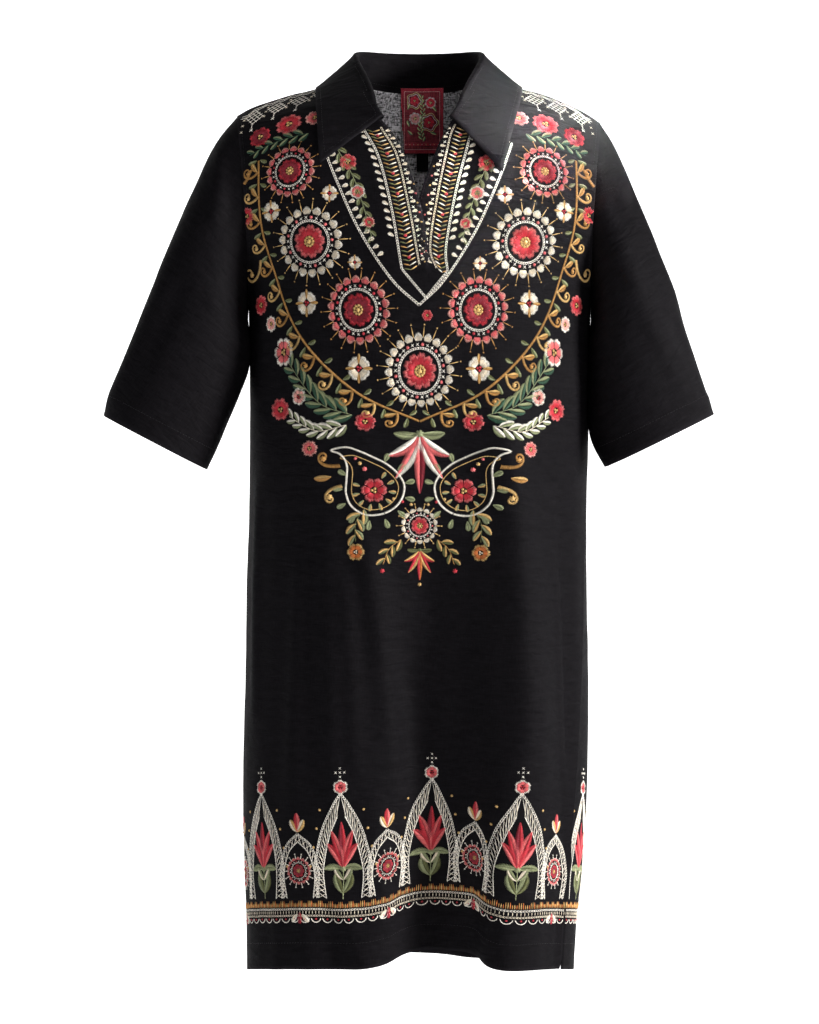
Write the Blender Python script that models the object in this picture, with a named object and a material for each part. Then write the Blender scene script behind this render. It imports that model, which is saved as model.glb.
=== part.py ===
# Shift dress in its worn form: two body panels, two set-in sleeves, a rolled collar and two tags at the neck.
# The front slit laps right over left, so the viewer's left edge lies on top.
# Metres, +Z up, front towards -Y. Left and right are the wearer's, so the right side is at -X.
# The origin is where the shoulders carry the dress: mid-neck, level with the tops of the shoulder seams.
from collections import namedtuple
from math import cos, pi, radians, sin

import bmesh
import bpy
from mathutils import Vector
from mathutils.bvhtree import BVHTree

# Tables and sizes are in millimetres and are turned into metres where points are made.
MM = 0.001
RIGHT = -1
LEFT = 1
FRONT = -1
BACK = 1

# Cloth and seams
BODY_WALL = 1.5
HEM_WALL = 2.3
COLLAR_WALL = 2.0
LABEL_WALL = 1.0
SEAM_GAP = 0.3
MITRE_LIMIT = 1.5

# Sewn pieces of the form, by number
PIECES = ("front", "back", "sleeve_right", "sleeve_left")
FIRST_SLEEVE = 2

# Mesh counts
LOWER_ROWS = 27
PANEL_COLUMNS = 10
UNDERARM_COLUMNS = 3
SLIT_ROWS = 3
OPENING_ROWS = 4
NECK_ROWS = 7
UPPER_ROWS = SLIT_ROWS + OPENING_ROWS + NECK_ROWS
SLEEVE_ROWS = 10
SMOOTHING_PASSES = 6
FINE_STEPS = 100

# Smoothing leaves the slit and everything below this height as they are.
SMOOTH_ABOVE = -300
SLIT_REACH = 45

Point = namedtuple("Point", "order x y z")

# Body
SECTION_POWER = 2.35
HEM_HEIGHT = -958
HEM_FOLD = 30
HEM_FRONT_RISE = 15
HEM_BACK_RISE = 3
ARMHOLE_PULL = 150
SEAM_TWIST_TOP = -240
SEAM_TWIST_FOOT = -800
SIDE_SEAM_ANGLE = {RIGHT: 112, LEFT: 62}
FOLD_FADE = 60
SLIT_LAP_SHIFT = 2.1
SLIT_LAP_SPREAD = (1.0, 1.0, 0.45)

# Armholes: the highest point is the shoulder tip, the lowest is the underarm.
SHOULDER_TIP = {RIGHT: (-196.6, -37.0), LEFT: (196.0, -45.0)}
UNDERARM = {RIGHT: (-184.0, -240.0), LEFT: (185.0, -240.0)}
ARMHOLE_DEPTH = {FRONT: 50, BACK: 54}
ARMHOLE_BOW = 4

# Sleeves: the lines down the top and down the underarm, then the depth and the forward hang.
SLEEVE_HEM_FOLD = 25
SLEEVE_CLEARANCE = 1.9
SLEEVE_BOW_END = 0.3
SLEEVE_TOP = {
    RIGHT: ((-196.6, -37.0), (-211.5, -50.5), (-224.6, -73.4), (-252.8, -138.2), (-291.2, -235.4),
            (-338.7, -360.5)),
    LEFT: ((196.0, -45.0), (207.0, -55.0), (214.2, -75.0), (238.0, -138.2), (274.2, -235.4),
           (316.4, -359.0)),
}
SLEEVE_UNDER = {
    RIGHT: ((-184.0, -240.0), (-184.0, -262.0), (-182.5, -285.0), (-183.0, -306.0), (-189.5, -327.0),
            (-207.5, -373.0), (-226.5, -419.0)),
    LEFT: ((185.0, -240.0), (185.0, -262.0), (183.6, -290.0), (183.0, -340.0), (184.0, -380.0),
           (190.0, -398.0), (200.0, -416.5)),
}
SleeveRow = namedtuple("SleeveRow", "share front back forward")
SLEEVE_ROWS_SHAPE = [
    SleeveRow(0.00, 50, 54, 0),
    SleeveRow(0.10, 52, 55, 4),
    SleeveRow(0.30, 54, 58, 16),
    SleeveRow(0.60, 54, 58, 26),
    SleeveRow(1.00, 50, 50, 30),
]

Section = namedtuple("Section", "z right left front back")
SECTIONS = [
    Section(HEM_HEIGHT, 186.8, 168.0, 115, 106),
    Section(-905, 187.0, 170.8, 116, 106),
    Section(-861, 188.0, 176.0, 117, 106),
    Section(-790, 190.0, 181.0, 118, 105),
    Section(-732, 190.0, 182.5, 118, 104),
    Section(-624, 187.9, 182.5, 117, 101),
    Section(-516, 185.8, 181.4, 116, 98),
    Section(-451, 183.6, 181.2, 117, 97),
    Section(-390, 182.7, 182.8, 119, 98),
    Section(-322, 181.9, 184.0, 121, 101),
    Section(-240, 183.0, 184.3, 120, 104),
    Section(-200, 184.0, 185.0, 116, 104),
]

# A fold is a soft trough, or a ridge where its depth is negative, from its top down to the hem.
Fold = namedtuple("Fold", "face top x_top x_hem flat left_slope right_slope depth growth")
FOLDS = [
    Fold(FRONT, -430, 12, 34, 22, 66, 36, 36, 1.4),
    Fold(FRONT, -470, -42, -24, 3, 34, 30, -9, 1.0),
    Fold(FRONT, -480, 122, 118, 4, 28, 30, -8, 0.9),
    Fold(FRONT, -560, -118, -122, 2, 26, 34, -6, 0.9),
    Fold(FRONT, -640, -78, -84, 4, 24, 22, 7, 1.0),
    Fold(BACK, -420, -64, -82, 8, 44, 38, 26, 1.3),
    Fold(BACK, -520, 8, 2, 6, 36, 40, -12, 1.1),
    Fold(BACK, -460, 86, 74, 6, 36, 44, 20, 1.2),
    Fold(BACK, -600, -142, -140, 3, 24, 26, -6, 1.0),
]
HEM_LIFT = 18.0

# Slit and neck opening of the front, from the foot of the slit up to the ends of the collar.
# The edges part at row SLIT_TOP.
Opening = namedtuple("Opening", "z over under y")
SLIT_TOP = 3
OPENING = [
    Opening(-211, 10.0, 10.0, -117.5),
    Opening(-186, 9.0, -1.0, -111.5),
    Opening(-162, 5.0, -2.5, -105.0),
    Opening(-137, 0.5, -1.5, -98.0),
    Opening(-104, -9.5, 9.8, -88.5),
    Opening(-65, -25.0, 25.0, -77.0),
    Opening(-48, -41.0, 35.5, -71.0),
]

BackLine = namedtuple("BackLine", "z y")
BACK_CENTRE = [
    BackLine(-211, 104.0),
    BackLine(-150, 100.0),
    BackLine(-90, 92.5),
    BackLine(-40, 84.0),
    BackLine(-5, 78.0),
]

# Collar lines of one side, by the share of the way from the front end to the back centre.
CollarRow = namedtuple("CollarRow", "share nx ny nz rx ry rz ex ey ez radius")
COLLAR = [
    CollarRow(0.00, 41.0, -71.0, -48.0, 43.0, -77.5, -44.0, 104.8, -90.0, -96.2, 3.2),
    CollarRow(0.17, 51.0, -56.0, -31.0, 47.5, -58.0, -24.0, 107.8, -76.0, -62.0, 3.4),
    CollarRow(0.33, 62.5, -31.0, -11.0, 56.0, -32.0, 1.0, 110.5, -42.0, -26.0, 3.6),
    CollarRow(0.50, 74.0, 2.0, 2.0, 69.5, 8.0, 31.0, 111.5, 0.0, -4.5, 3.8),
    CollarRow(0.66, 69.0, 36.0, 2.0, 61.0, 37.0, 38.0, 102.0, 52.0, -10.0, 4.0),
    CollarRow(0.83, 41.0, 66.0, -2.5, 36.0, 60.0, 39.2, 60.0, 88.0, -18.0, 4.0),
    CollarRow(1.00, 0.0, 78.0, -5.0, 0.0, 67.0, 39.2, 0.0, 101.0, -20.0, 4.0),
]
LEFT_TIP_SHIFT = (-16.4, 0.0, -9.3)
LEFT_NECK_SHIFT = (-5.5, 0.0, 0.0)
TIP_SHIFT_END = 0.45
ROLL_ANGLES = (180, 135, 90, 45, 0)
LEAF_ROWS = 4
LEAF_CLEARANCE = 1.7
TIGHT_ROLL_END = 0.22
TIGHT_ROLL_RISE = 1.8
TIGHT_ROLL_RADIUS = 1.5

# Shoulder seams, by distance from the middle, from neck to shoulder tip.
SHOULDER_BOW = {
    RIGHT: ((0.30, 2.0), (0.55, 4.8), (0.85, 4.5)),
    LEFT: ((0.30, 5.0), (0.55, 7.5), (0.85, 5.5)),
}

# Tags
LABEL_TOP = 1.5
LABEL_SIZE = (47, 71)
LABEL_CENTRE = 3.5
LABEL_LEAN = 4
LABEL_HANG = 6
TAG_SIZE = (13, 27)
TAG_CENTRE = 4.0
TAG_TOP = -61.5
LABEL_GRID = (5, 7)
TAG_GRID = (2, 3)
LAID_GAP = 0.5

CLOTH = (0.014, 0.014, 0.016)
LABEL_RED = (0.20, 0.012, 0.020)


def smooth_step(value):
    value = min(max(value, 0.0), 1.0)
    return value * value * (3 - 2 * value)


def table_at(table, key):
    """Reads a table at a key in its first column, on a smooth curve through its rows."""
    keys = [row[0] for row in table]
    last = len(table) - 1
    key = min(max(key, keys[0]), keys[-1])
    low = max(index for index in range(last) if keys[index] <= key)
    span = keys[low + 1] - keys[low]
    t = (key - keys[low]) / span

    def slope(index, column):
        before, after = max(index - 1, 0), min(index + 1, last)
        return (table[after][column] - table[before][column]) / (keys[after] - keys[before])

    values = [key]
    for column in range(1, len(table[0])):
        start, end = table[low][column], table[low + 1][column]
        start_slope, end_slope = slope(low, column) * span, slope(low + 1, column) * span
        values.append((2 * t**3 - 3 * t**2 + 1) * start + (t**3 - 2 * t**2 + t) * start_slope
                      + (3 * t**2 - 2 * t**3) * end + (t**3 - t**2) * end_slope)
    return type(table[0])(*values)


def resample(points, count):
    """Spreads count equal steps along a polyline."""
    lengths = [0.0]
    for start, end in zip(points, points[1:]):
        lengths.append(lengths[-1] + (end - start).length)
    spread = []
    index = 0
    for step in range(count + 1):
        target = lengths[-1] * step / count
        while index < len(points) - 2 and lengths[index + 1] < target:
            index += 1
        span = lengths[index + 1] - lengths[index]
        spread.append(points[index].lerp(points[index + 1], (target - lengths[index]) / span))
    return spread


def curve_through(controls, count):
    """Equal steps along a smooth curve through a few points."""
    table = [Point(index, *control) for index, control in enumerate(controls)]
    places = [step * (len(table) - 1) / FINE_STEPS for step in range(FINE_STEPS + 1)]
    return resample([Vector(table_at(table, place)[1:]) for place in places], count)


# Body form

def fold_depth(face, x, z):
    depth = 0.0
    for fold in FOLDS:
        if fold.face != face or z >= fold.top:
            continue
        down = (fold.top - z) / (fold.top - HEM_HEIGHT)
        centre = fold.x_top + (fold.x_hem - fold.x_top) * down
        off = x - centre
        slope = fold.left_slope if off < 0 else fold.right_slope
        side = smooth_step(1 - max(abs(off) - fold.flat, 0) / slope)
        depth += fold.depth * down**fold.growth * side
    return depth


def seam_angle(z, side):
    down = min(max((SEAM_TWIST_TOP - z) / (SEAM_TWIST_TOP - SEAM_TWIST_FOOT), 0), 1)
    return 90 + (SIDE_SEAM_ANGLE[side] - 90) * down


def section_row(z, side, face, count):
    """Equal steps from the centre of one face to the side seam, round the body at one height."""
    section = table_at(SECTIONS, z)
    width = section.left if side == LEFT else section.right
    start = 0 if face == FRONT else 180
    end = seam_angle(z, side)
    fine = []
    for step in range(FINE_STEPS + 1):
        angle = radians(start + (end - start) * step / FINE_STEPS)
        across, along = sin(angle), cos(angle)
        depth = section.front if along > 0 else section.back
        x = side * width * abs(across) ** (2 / SECTION_POWER)
        y = -depth * abs(along) ** (2 / SECTION_POWER) * (1 if along > 0 else -1)
        here = FRONT if along > 0 else BACK
        y -= here * fold_depth(here, x, z) * smooth_step(abs(y) / FOLD_FADE)
        fine.append(Vector((x, y, z)))
    return resample(fine, count)


def hem_height(x, y):
    foot = SECTIONS[0]
    rise = HEM_FRONT_RISE * -y / foot.front if y < 0 else HEM_BACK_RISE * y / foot.back
    trough = FOLDS[0]
    off = x - trough.x_hem
    slope = trough.left_slope if off < 0 else trough.right_slope
    lift = HEM_LIFT * smooth_step(1 - max(abs(off) - trough.flat, 0) / slope) if y < 0 else 0
    return HEM_HEIGHT + rise + lift


def armhole_point(side, face, angle):
    """A point of the armhole; the angle runs from 0 at the shoulder tip to pi at the underarm."""
    (top_x, top_z), (low_x, low_z) = SHOULDER_TIP[side], UNDERARM[side]
    share = (1 + cos(angle)) / 2
    x = low_x + (top_x - low_x) * share - side * ARMHOLE_BOW * sin(angle) ** 2
    z = low_z + (top_z - low_z) * share
    return Vector((x, face * ARMHOLE_DEPTH[face] * sin(angle), z))


def armhole_angles(side, face):
    """Angles of equal steps along one half of the armhole, from the underarm up to the tip."""
    count = UNDERARM_COLUMNS + UPPER_ROWS
    fine = [armhole_point(side, face, pi - pi * step / FINE_STEPS) for step in range(FINE_STEPS + 1)]
    total = sum((end - start).length for start, end in zip(fine, fine[1:]))
    angles = [pi]
    run = 0.0
    for step in range(FINE_STEPS):
        before, run = run, run + (fine[step + 1] - fine[step]).length
        target = total * len(angles) / count
        if run >= target and len(angles) < count:
            angles.append(pi - pi * (step + (target - before) / (run - before)) / FINE_STEPS)
    return angles + [0.0]


def left_fade(side, share):
    """How much of the left collar end's own shifts a share of the neckline takes."""
    return smooth_step(1 - share / TIP_SHIFT_END) if side == LEFT else 0.0


def neck_point(side, share):
    row = table_at(COLLAR, share)
    return Vector((side * row.nx, row.ny, row.nz)) + Vector(LEFT_NECK_SHIFT) * left_fade(side, share)


def neck_line(side, face):
    """Neckline from the front end, or from the back centre, up to the top of the shoulder seam."""
    start = 0.0 if face == FRONT else 1.0
    shares = [start + (0.5 - start) * step / FINE_STEPS for step in range(FINE_STEPS + 1)]
    fine = [neck_point(side, share) for share in shares]
    return resample(fine, NECK_ROWS)


def shoulder_seam(side):
    """Shoulder seam from the neck to the shoulder tip, a little bowed upwards."""
    neck = neck_point(side, 0.5)
    tip_x, tip_z = SHOULDER_TIP[side]
    tip = Vector((tip_x, 0, tip_z))
    bowed = [tuple(neck.lerp(tip, share) + Vector((0, 0, rise))) for share, rise in SHOULDER_BOW[side]]
    return curve_through([tuple(neck)] + bowed + [tuple(tip)], PANEL_COLUMNS)


def table_line(table, start, end, count):
    """Rows of a table at equal steps from one height to another."""
    return [table_at(table, start + (end - start) * step / count) for step in range(count + 1)]


def centre_edge(side, face):
    """Inner edge of half an upper panel: up the middle, round the opening and along the neckline."""
    if face == BACK:
        rows = table_line(BACK_CENTRE, BACK_CENTRE[0].z, BACK_CENTRE[-1].z, FINE_STEPS)
        middle = resample([Vector((0, row.y, row.z)) for row in rows], SLIT_ROWS + OPENING_ROWS)
        return middle + neck_line(side, face)[1:]
    foot, parting, top = OPENING[0].z, OPENING[SLIT_TOP].z, OPENING[-1].z
    slit, opening = [[Vector((row.over if side == RIGHT else row.under, row.y, row.z)) for row in rows]
                     for rows in (table_line(OPENING, foot, parting, SLIT_ROWS),
                                  table_line(OPENING, parting, top, FINE_STEPS))]
    return slit[:-1] + resample(opening, OPENING_ROWS) + neck_line(side, face)[1:]


def half_panel(side, face):
    """Rows of points of half a panel: the lower block from the hem up, then the upper block."""
    columns = PANEL_COLUMNS + UNDERARM_COLUMNS
    angles = armhole_angles(side, face)
    armhole = [armhole_point(side, face, angle) for angle in angles]
    corner = armhole[UNDERARM_COLUMNS]
    inner_edge = centre_edge(side, face)
    chest = inner_edge[0]
    top_heights = []
    for column in range(columns + 1):
        if column <= PANEL_COLUMNS:
            top_heights.append(chest.z + (corner.z - chest.z) * column / PANEL_COLUMNS)
        else:
            top_heights.append(armhole[columns - column].z)
    hem_line = section_row(HEM_HEIGHT, side, face, columns)
    hem_heights = [hem_height(point.x, point.y) for point in hem_line]

    def on_body(column, z):
        return section_row(z, side, face, columns)[column]

    edge_pulls = [armhole[columns - column] - on_body(column, armhole[columns - column].z)
                  for column in range(PANEL_COLUMNS, columns + 1)]
    centre_pull = chest - on_body(0, chest.z)
    shares = [column / PANEL_COLUMNS for column in range(PANEL_COLUMNS)]
    pulls = [centre_pull * (1 - share) ** 2 + edge_pulls[0] * share**2 for share in shares] + edge_pulls
    lower = []
    for row in range(LOWER_ROWS + 1):
        line = []
        for column, (low, high, pull) in enumerate(zip(hem_heights, top_heights, pulls)):
            fold_line = low + HEM_FOLD
            share = (row - 1) / (LOWER_ROWS - 1)
            z = low if row == 0 else fold_line + (high - fold_line) * share
            line.append(on_body(column, z) + pull * smooth_step(1 - (high - z) / ARMHOLE_PULL))
        lower.append(line)

    bottom = lower[-1][:PANEL_COLUMNS + 1]
    outer_edge = armhole[UNDERARM_COLUMNS:]
    top = shoulder_seam(side)
    upper = []
    for row in range(UPPER_ROWS + 1):
        v = row / UPPER_ROWS
        line = []
        for column in range(PANEL_COLUMNS + 1):
            u = column / PANEL_COLUMNS
            ruled = (inner_edge[row] * (1 - u) + outer_edge[row] * u
                     + bottom[column] * (1 - v) + top[column] * v)
            corners = ((bottom[0] * (1 - u) + bottom[-1] * u) * (1 - v)
                       + (top[0] * (1 - u) + top[-1] * u) * v)
            line.append(ruled - corners)
        upper.append(line)
    if face == FRONT and side == RIGHT:
        lift_lap(upper)
    return lower, upper


def lift_lap(upper):
    """Brings the over edge of the slit forward, clear of the edge that it laps."""
    for row in range(1, UPPER_ROWS - NECK_ROWS + 1):
        fade = smooth_step(2 - 2 * row / (SLIT_ROWS + OPENING_ROWS))
        for column, share in enumerate(SLIT_LAP_SPREAD):
            upper[row][column].y -= SLIT_LAP_SHIFT * share * fade


# Sleeves

def sleeve_line(controls):
    """Places of the rings down one line of a sleeve; the last but one is the top of the hem's fold."""
    line = curve_through([(x, 0, z) for x, z in controls], FINE_STEPS)
    fold_share = 1 - SLEEVE_HEM_FOLD / (FINE_STEPS * (line[1] - line[0]).length)
    shares = [fold_share * row / (SLEEVE_ROWS - 1) for row in range(SLEEVE_ROWS)] + [1.0]
    return [(line[round(share * FINE_STEPS)], share) for share in shares]


def clear_of_body(side, point):
    """Moves a sleeve point that would lie in the body out to the side of it."""
    section = table_at(SECTIONS, point.z)
    width = section.left if side == LEFT else section.right
    depth = section.front if point.y < 0 else section.back
    share = 1 - (abs(point.y) / depth) ** SECTION_POWER
    least = width * max(share, 0) ** (1 / SECTION_POWER) + SLEEVE_CLEARANCE
    point.x = side * max(side * point.x, least)
    return point


def sleeve_rings(side):
    """Rings round the arm, from the armhole to the hem; each starts at the underarm, front first."""
    front = armhole_angles(side, FRONT)
    back = armhole_angles(side, BACK)
    turn = [(FRONT, angle) for angle in front[:-1]] + [(BACK, angle) for angle in reversed(back[1:])]
    rings = [[armhole_point(side, face, angle) for face, angle in turn]]
    lines = zip(sleeve_line(SLEEVE_TOP[side]), sleeve_line(SLEEVE_UNDER[side]))
    for (high, share), (low, _) in list(lines)[1:]:
        middle, reach = (high + low) / 2, (high - low) / 2
        bow = -side * ARMHOLE_BOW * smooth_step(1 - share / SLEEVE_BOW_END)
        shape = table_at(SLEEVE_ROWS_SHAPE, share)
        ring = []
        for face, angle in turn:
            point = middle + reach * cos(angle) + Vector((bow * sin(angle) ** 2, 0, 0))
            point.y = face * (shape.front if face == FRONT else shape.back) * sin(angle) - shape.forward
            ring.append(clear_of_body(side, point))
        rings.append(ring)
    return rings


# Mesh helpers

def add_grid(form, rows, piece, walls, closed=False, flip=False):
    """Adds a grid of points as faces of one piece; walls gives the cloth thickness of each row."""
    piece_layer = form.faces.layers.int["piece"]
    wall_layer = form.verts.layers.float["wall"]
    verts = []
    for row, wall in zip(rows, walls):
        line = [form.verts.new(point * MM) for point in row]
        for vert in line:
            vert[wall_layer] = wall * MM
        verts.append(line)
    for low, high in zip(verts, verts[1:]):
        last = len(low) if closed else len(low) - 1
        for index in range(last):
            after = (index + 1) % len(low)
            corners = [low[index], low[after], high[after], high[index]]
            face = form.faces.new(reversed(corners) if flip else corners)
            face[piece_layer] = piece
    return verts


def new_form():
    form = bmesh.new()
    form.faces.layers.int.new("piece")
    form.verts.layers.float.new("wall")
    return form


def mean_normal(faces):
    return sum((face.normal * face.calc_area() for face in faces), Vector()).normalized()


def mean_inward(vert, faces):
    runs = [(face.calc_center_median() - vert.co).normalized() for face in faces]
    return sum(runs, Vector()).normalized()


def seam_frame(vert, piece, piece_layer):
    """Which way a seam point draws back into its piece, and the cloth's normal in the mitre there.

    Where three pieces meet, the sleeve's seam runs through and the front and back part as well.
    """
    corner = len({face[piece_layer] for face in vert.link_faces}) == 3

    def part(number):
        return number >= FIRST_SLEEVE if corner else number

    own = [face for face in vert.link_faces if part(face[piece_layer]) == part(piece)]
    others = [face for face in vert.link_faces if part(face[piece_layer]) != part(piece)]
    ends = [edge.other_vert(vert).co for edge in vert.link_edges
            if len({part(face[piece_layer]) for face in edge.link_faces}) == 2]
    tangent = (ends[0] - (ends[1] if len(ends) == 2 else vert.co)).normalized()
    own_normal, other_normal = mean_normal(own), mean_normal(others)
    own_run, other_run = mean_inward(vert, own), mean_inward(vert, others)
    hollow = 1 if own_normal.dot(other_run) + other_normal.dot(own_run) > 0 else -1
    mitre = own_normal + other_normal + (own_run + other_run) * hollow
    mitre = (mitre - tangent * mitre.dot(tangent)).normalized()
    away = own_run - other_run - (own_normal - other_normal) * hollow
    away -= tangent * away.dot(tangent)
    draw = (away - mitre * away.dot(mitre)).normalized()
    if corner and piece < FIRST_SLEEVE:
        side = mean_inward(vert, [face for face in own if face[piece_layer] == piece]).dot(tangent)
        draw += tangent if side > 0 else -tangent
    return draw, mitre


def mitre_stretch(vert, normal):
    """How much longer than the wall the mitre is, between the faces round a point."""
    facing = [max(normal.dot(face.normal), 0.0) for face in vert.link_faces]
    return min(1 / max(sum(facing) / len(facing), 0.1), MITRE_LIMIT)


def wall_of_piece(form, piece, name, insides=None):
    """One piece of the form as a closed wall, drawn back from its seams by half the gap.

    insides gives the inner places of the points where they don't follow from the normals.
    """
    piece_layer = form.faces.layers.int["piece"]
    wall_layer = form.verts.layers.float["wall"]
    insides = insides or {}
    wall = bmesh.new()
    outer, inner = {}, {}
    own_faces = [face for face in form.faces if face[piece_layer] == piece]
    for vert in {vert for face in own_faces for vert in face.verts}:
        place = vert.co.copy()
        normal = mean_normal(vert.link_faces)
        if any(face[piece_layer] != piece for face in vert.link_faces):
            draw, normal = seam_frame(vert, piece, piece_layer)
            place += draw * SEAM_GAP * MM / 2
        depth = vert[wall_layer] * mitre_stretch(vert, normal)
        outer[vert] = wall.verts.new(place)
        inner[vert] = wall.verts.new(insides.get(vert, place - normal * depth))
    for face in own_faces:
        wall.faces.new([outer[vert] for vert in face.verts])
        wall.faces.new([inner[vert] for vert in reversed(face.verts)])
        for loop in face.loops:
            if sum(other[piece_layer] == piece for other in loop.edge.link_faces) == 1:
                start, end = loop.vert, loop.link_loop_next.vert
                wall.faces.new([outer[end], outer[start], inner[start], inner[end]])
    return finish_piece(wall, name)


def finish_piece(wall, name):
    bmesh.ops.triangulate(wall, faces=wall.faces[:])
    mesh = bpy.data.meshes.new(name)
    wall.to_mesh(mesh)
    wall.free()
    mesh.shade_smooth()
    mesh.set_sharp_from_angle(angle=radians(50))
    piece = bpy.data.objects.new(name, mesh)
    bpy.data.collections["shift_dress"].objects.link(piece)
    return piece


def cloth_material(name, colour, roughness):
    material = bpy.data.materials.new(name)
    material.use_nodes = True
    shader = material.node_tree.nodes["Principled BSDF"]
    shader.inputs["Base Color"].default_value = (*colour, 1)
    shader.inputs["Roughness"].default_value = roughness
    shader.inputs["Metallic"].default_value = 0
    return material


# Pieces

def garment_form():
    """Outer side of the panels and sleeves as one sheet, joined at the seams."""
    form = new_form()
    lower_walls = [HEM_WALL, HEM_WALL] + [BODY_WALL] * (LOWER_ROWS - 1)
    upper_walls = [BODY_WALL] * (UPPER_ROWS + 1)
    for piece, face in enumerate((FRONT, BACK)):
        for side in (RIGHT, LEFT):
            lower, upper = half_panel(side, face)
            flip = side * face > 0
            add_grid(form, lower, piece, lower_walls, flip=flip)
            add_grid(form, upper, piece, upper_walls, flip=flip)
    sleeve_walls = [BODY_WALL] * (SLEEVE_ROWS - 1) + [HEM_WALL] * 2
    for piece, side in enumerate((RIGHT, LEFT), start=FIRST_SLEEVE):
        add_grid(form, sleeve_rings(side), piece, sleeve_walls, closed=True, flip=side == RIGHT)
    bmesh.ops.remove_doubles(form, verts=form.verts[:], dist=0.02 * MM)
    relax_upper_panels(form)
    bmesh.ops.recalc_face_normals(form, faces=form.faces[:])
    form.normal_update()
    return form


def relax_upper_panels(form):
    """Evens out the chest and back above the armhole corners, with every seam and edge kept."""
    piece_layer = form.faces.layers.int["piece"]
    loose = []
    for vert in form.verts:
        pieces = {face[piece_layer] for face in vert.link_faces}
        near_slit = abs(vert.co.x) < SLIT_REACH * MM and vert.co.y < 0
        inside_panel = len(pieces) == 1 and min(pieces) < FIRST_SLEEVE and not vert.is_boundary
        if inside_panel and vert.co.z > SMOOTH_ABOVE * MM and not near_slit:
            loose.append(vert)
    for _ in range(SMOOTHING_PASSES):
        bmesh.ops.smooth_vert(form, verts=loose, factor=0.5, use_axis_x=True, use_axis_y=True,
                              use_axis_z=True)


def collar_lines(side, share):
    """Roll and leaf edge of the collar, and the roll's radius, at a share of the way to the back."""
    row = table_at(COLLAR, share)
    roll = Vector((side * row.rx, row.ry, row.rz))
    edge = Vector((side * row.ex, row.ey, row.ez))
    roll += Vector(LEFT_NECK_SHIFT) * left_fade(side, share)
    edge += Vector(LEFT_TIP_SHIFT) * left_fade(side, share)
    return roll, edge, row.radius


def arch_over(centre, out, up, radius):
    """Outer and inner points of a rolled edge, from its inward side over to its outward side."""
    turns = [out * cos(radians(angle)) + up * sin(radians(angle)) for angle in ROLL_ANGLES]
    return [(centre + turn * radius, centre + turn * (radius - COLLAR_WALL)) for turn in turns]


def collar_column(side, share, neck, away, normal, cleared):
    """Outer points of the collar, up the stand, over the roll and down the leaf.

    The stand's and the roll's inner points come with them; the leaf's follow from its normals.
    """
    roll, edge, radius = collar_lines(side, share)
    rise = smooth_step(share / TIGHT_ROLL_END)
    inward = (-normal).lerp(Vector((-neck.x, -neck.y, 0)).normalized(), rise)
    seat = neck + away * SEAM_GAP
    foot = seat + (inward - away * min(inward.dot(away), 0)).normalized() * COLLAR_WALL
    up = Vector((0, 0, 1))
    out = Vector((edge.x - roll.x, edge.y - roll.y, 0)).normalized()
    standing = arch_over(roll - up * radius, out, up, radius)
    # At the front ends there is no stand: the collar turns straight back over the neck edge.
    tight = arch_over(neck + away * TIGHT_ROLL_RISE + normal * TIGHT_ROLL_RADIUS, normal, away,
                      TIGHT_ROLL_RADIUS + COLLAR_WALL)
    arch = [(low[0].lerp(high[0], rise), low[1].lerp(high[1], rise))
            for low, high in zip(tight, standing)]
    waist = (foot.lerp(arch[0][0], 0.5), seat.lerp(arch[0][1], 0.5))
    backed = [(foot, seat), waist] + arch
    leaf = [cleared(arch[-1][0].lerp(edge, step / LEAF_ROWS)) for step in range(1, LEAF_ROWS + 1)]
    return [outside for outside, _ in backed] + leaf, [inside for _, inside in backed]


def neck_frame(form, seam, index):
    """Directions away from the panel across its neck edge, and out of the cloth."""
    vert = min(form.verts, key=lambda other: (other.co - seam[index] * MM).length_squared)
    normal = mean_normal(vert.link_faces)
    run = seam[min(index + 1, len(seam) - 1)] - seam[max(index - 1, 0)]
    away = normal.cross(run).normalized()
    return (-away if away.dot(mean_inward(vert, vert.link_faces)) > 0 else away), normal


def collar_piece(form):
    tree = BVHTree.FromBMesh(form)
    lift = (COLLAR_WALL + LEAF_CLEARANCE) * MM

    def cleared(point):
        place, normal, _, _ = tree.find_nearest(point * MM)
        height = (point * MM - place).dot(normal)
        if height < lift:
            return (place + normal * lift) / MM
        return point

    columns = []
    for side in (RIGHT, LEFT):
        front, back = neck_line(side, FRONT), neck_line(side, BACK)
        seam = front + list(reversed(back))[1:]
        shares = [0.5 * step / NECK_ROWS for step in range(2 * NECK_ROWS + 1)]
        frames = [neck_frame(form, seam, index) for index in range(len(seam))]
        half = [collar_column(side, share, neck, *frame, cleared)
                for share, neck, frame in zip(shares, seam, frames)]
        columns += half if side == RIGHT else list(reversed(half))[1:]
    sheet = new_form()
    verts = add_grid(sheet, [column for column, _ in columns], 0, [COLLAR_WALL] * len(columns), flip=True)
    sheet.normal_update()
    insides = {vert: inside * MM for line, (_, backed) in zip(verts, columns)
               for vert, inside in zip(line, backed)}
    return wall_of_piece(sheet, 0, "collar", insides)


def laid_tag(name, trees, size, centre, top, lean, hang, grid, gap, wall):
    """A tag that hangs inside the back of the neck, a little off the cloth behind it."""
    width, height = size
    across, down = grid
    rows = []
    for row in range(down + 1):
        share = row / down
        line = []
        for column in range(across + 1):
            side = column / across - 0.5
            x = centre + side * width + lean * share * (0.5 - side)
            z = top - height * share
            hits = [tree.ray_cast(Vector((x, 0, z)) * MM, Vector((0, 1, 0))) for tree in trees]
            y = min(hit[0].y for hit in hits if hit[0] is not None) / MM
            y -= gap + wall + hang * share**1.5
            line.append(Vector((x, y, z)))
        rows.append(line)
    sheet = new_form()
    add_grid(sheet, rows, 0, [wall] * len(rows), flip=True)
    sheet.normal_update()
    return wall_of_piece(sheet, 0, name)


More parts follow.
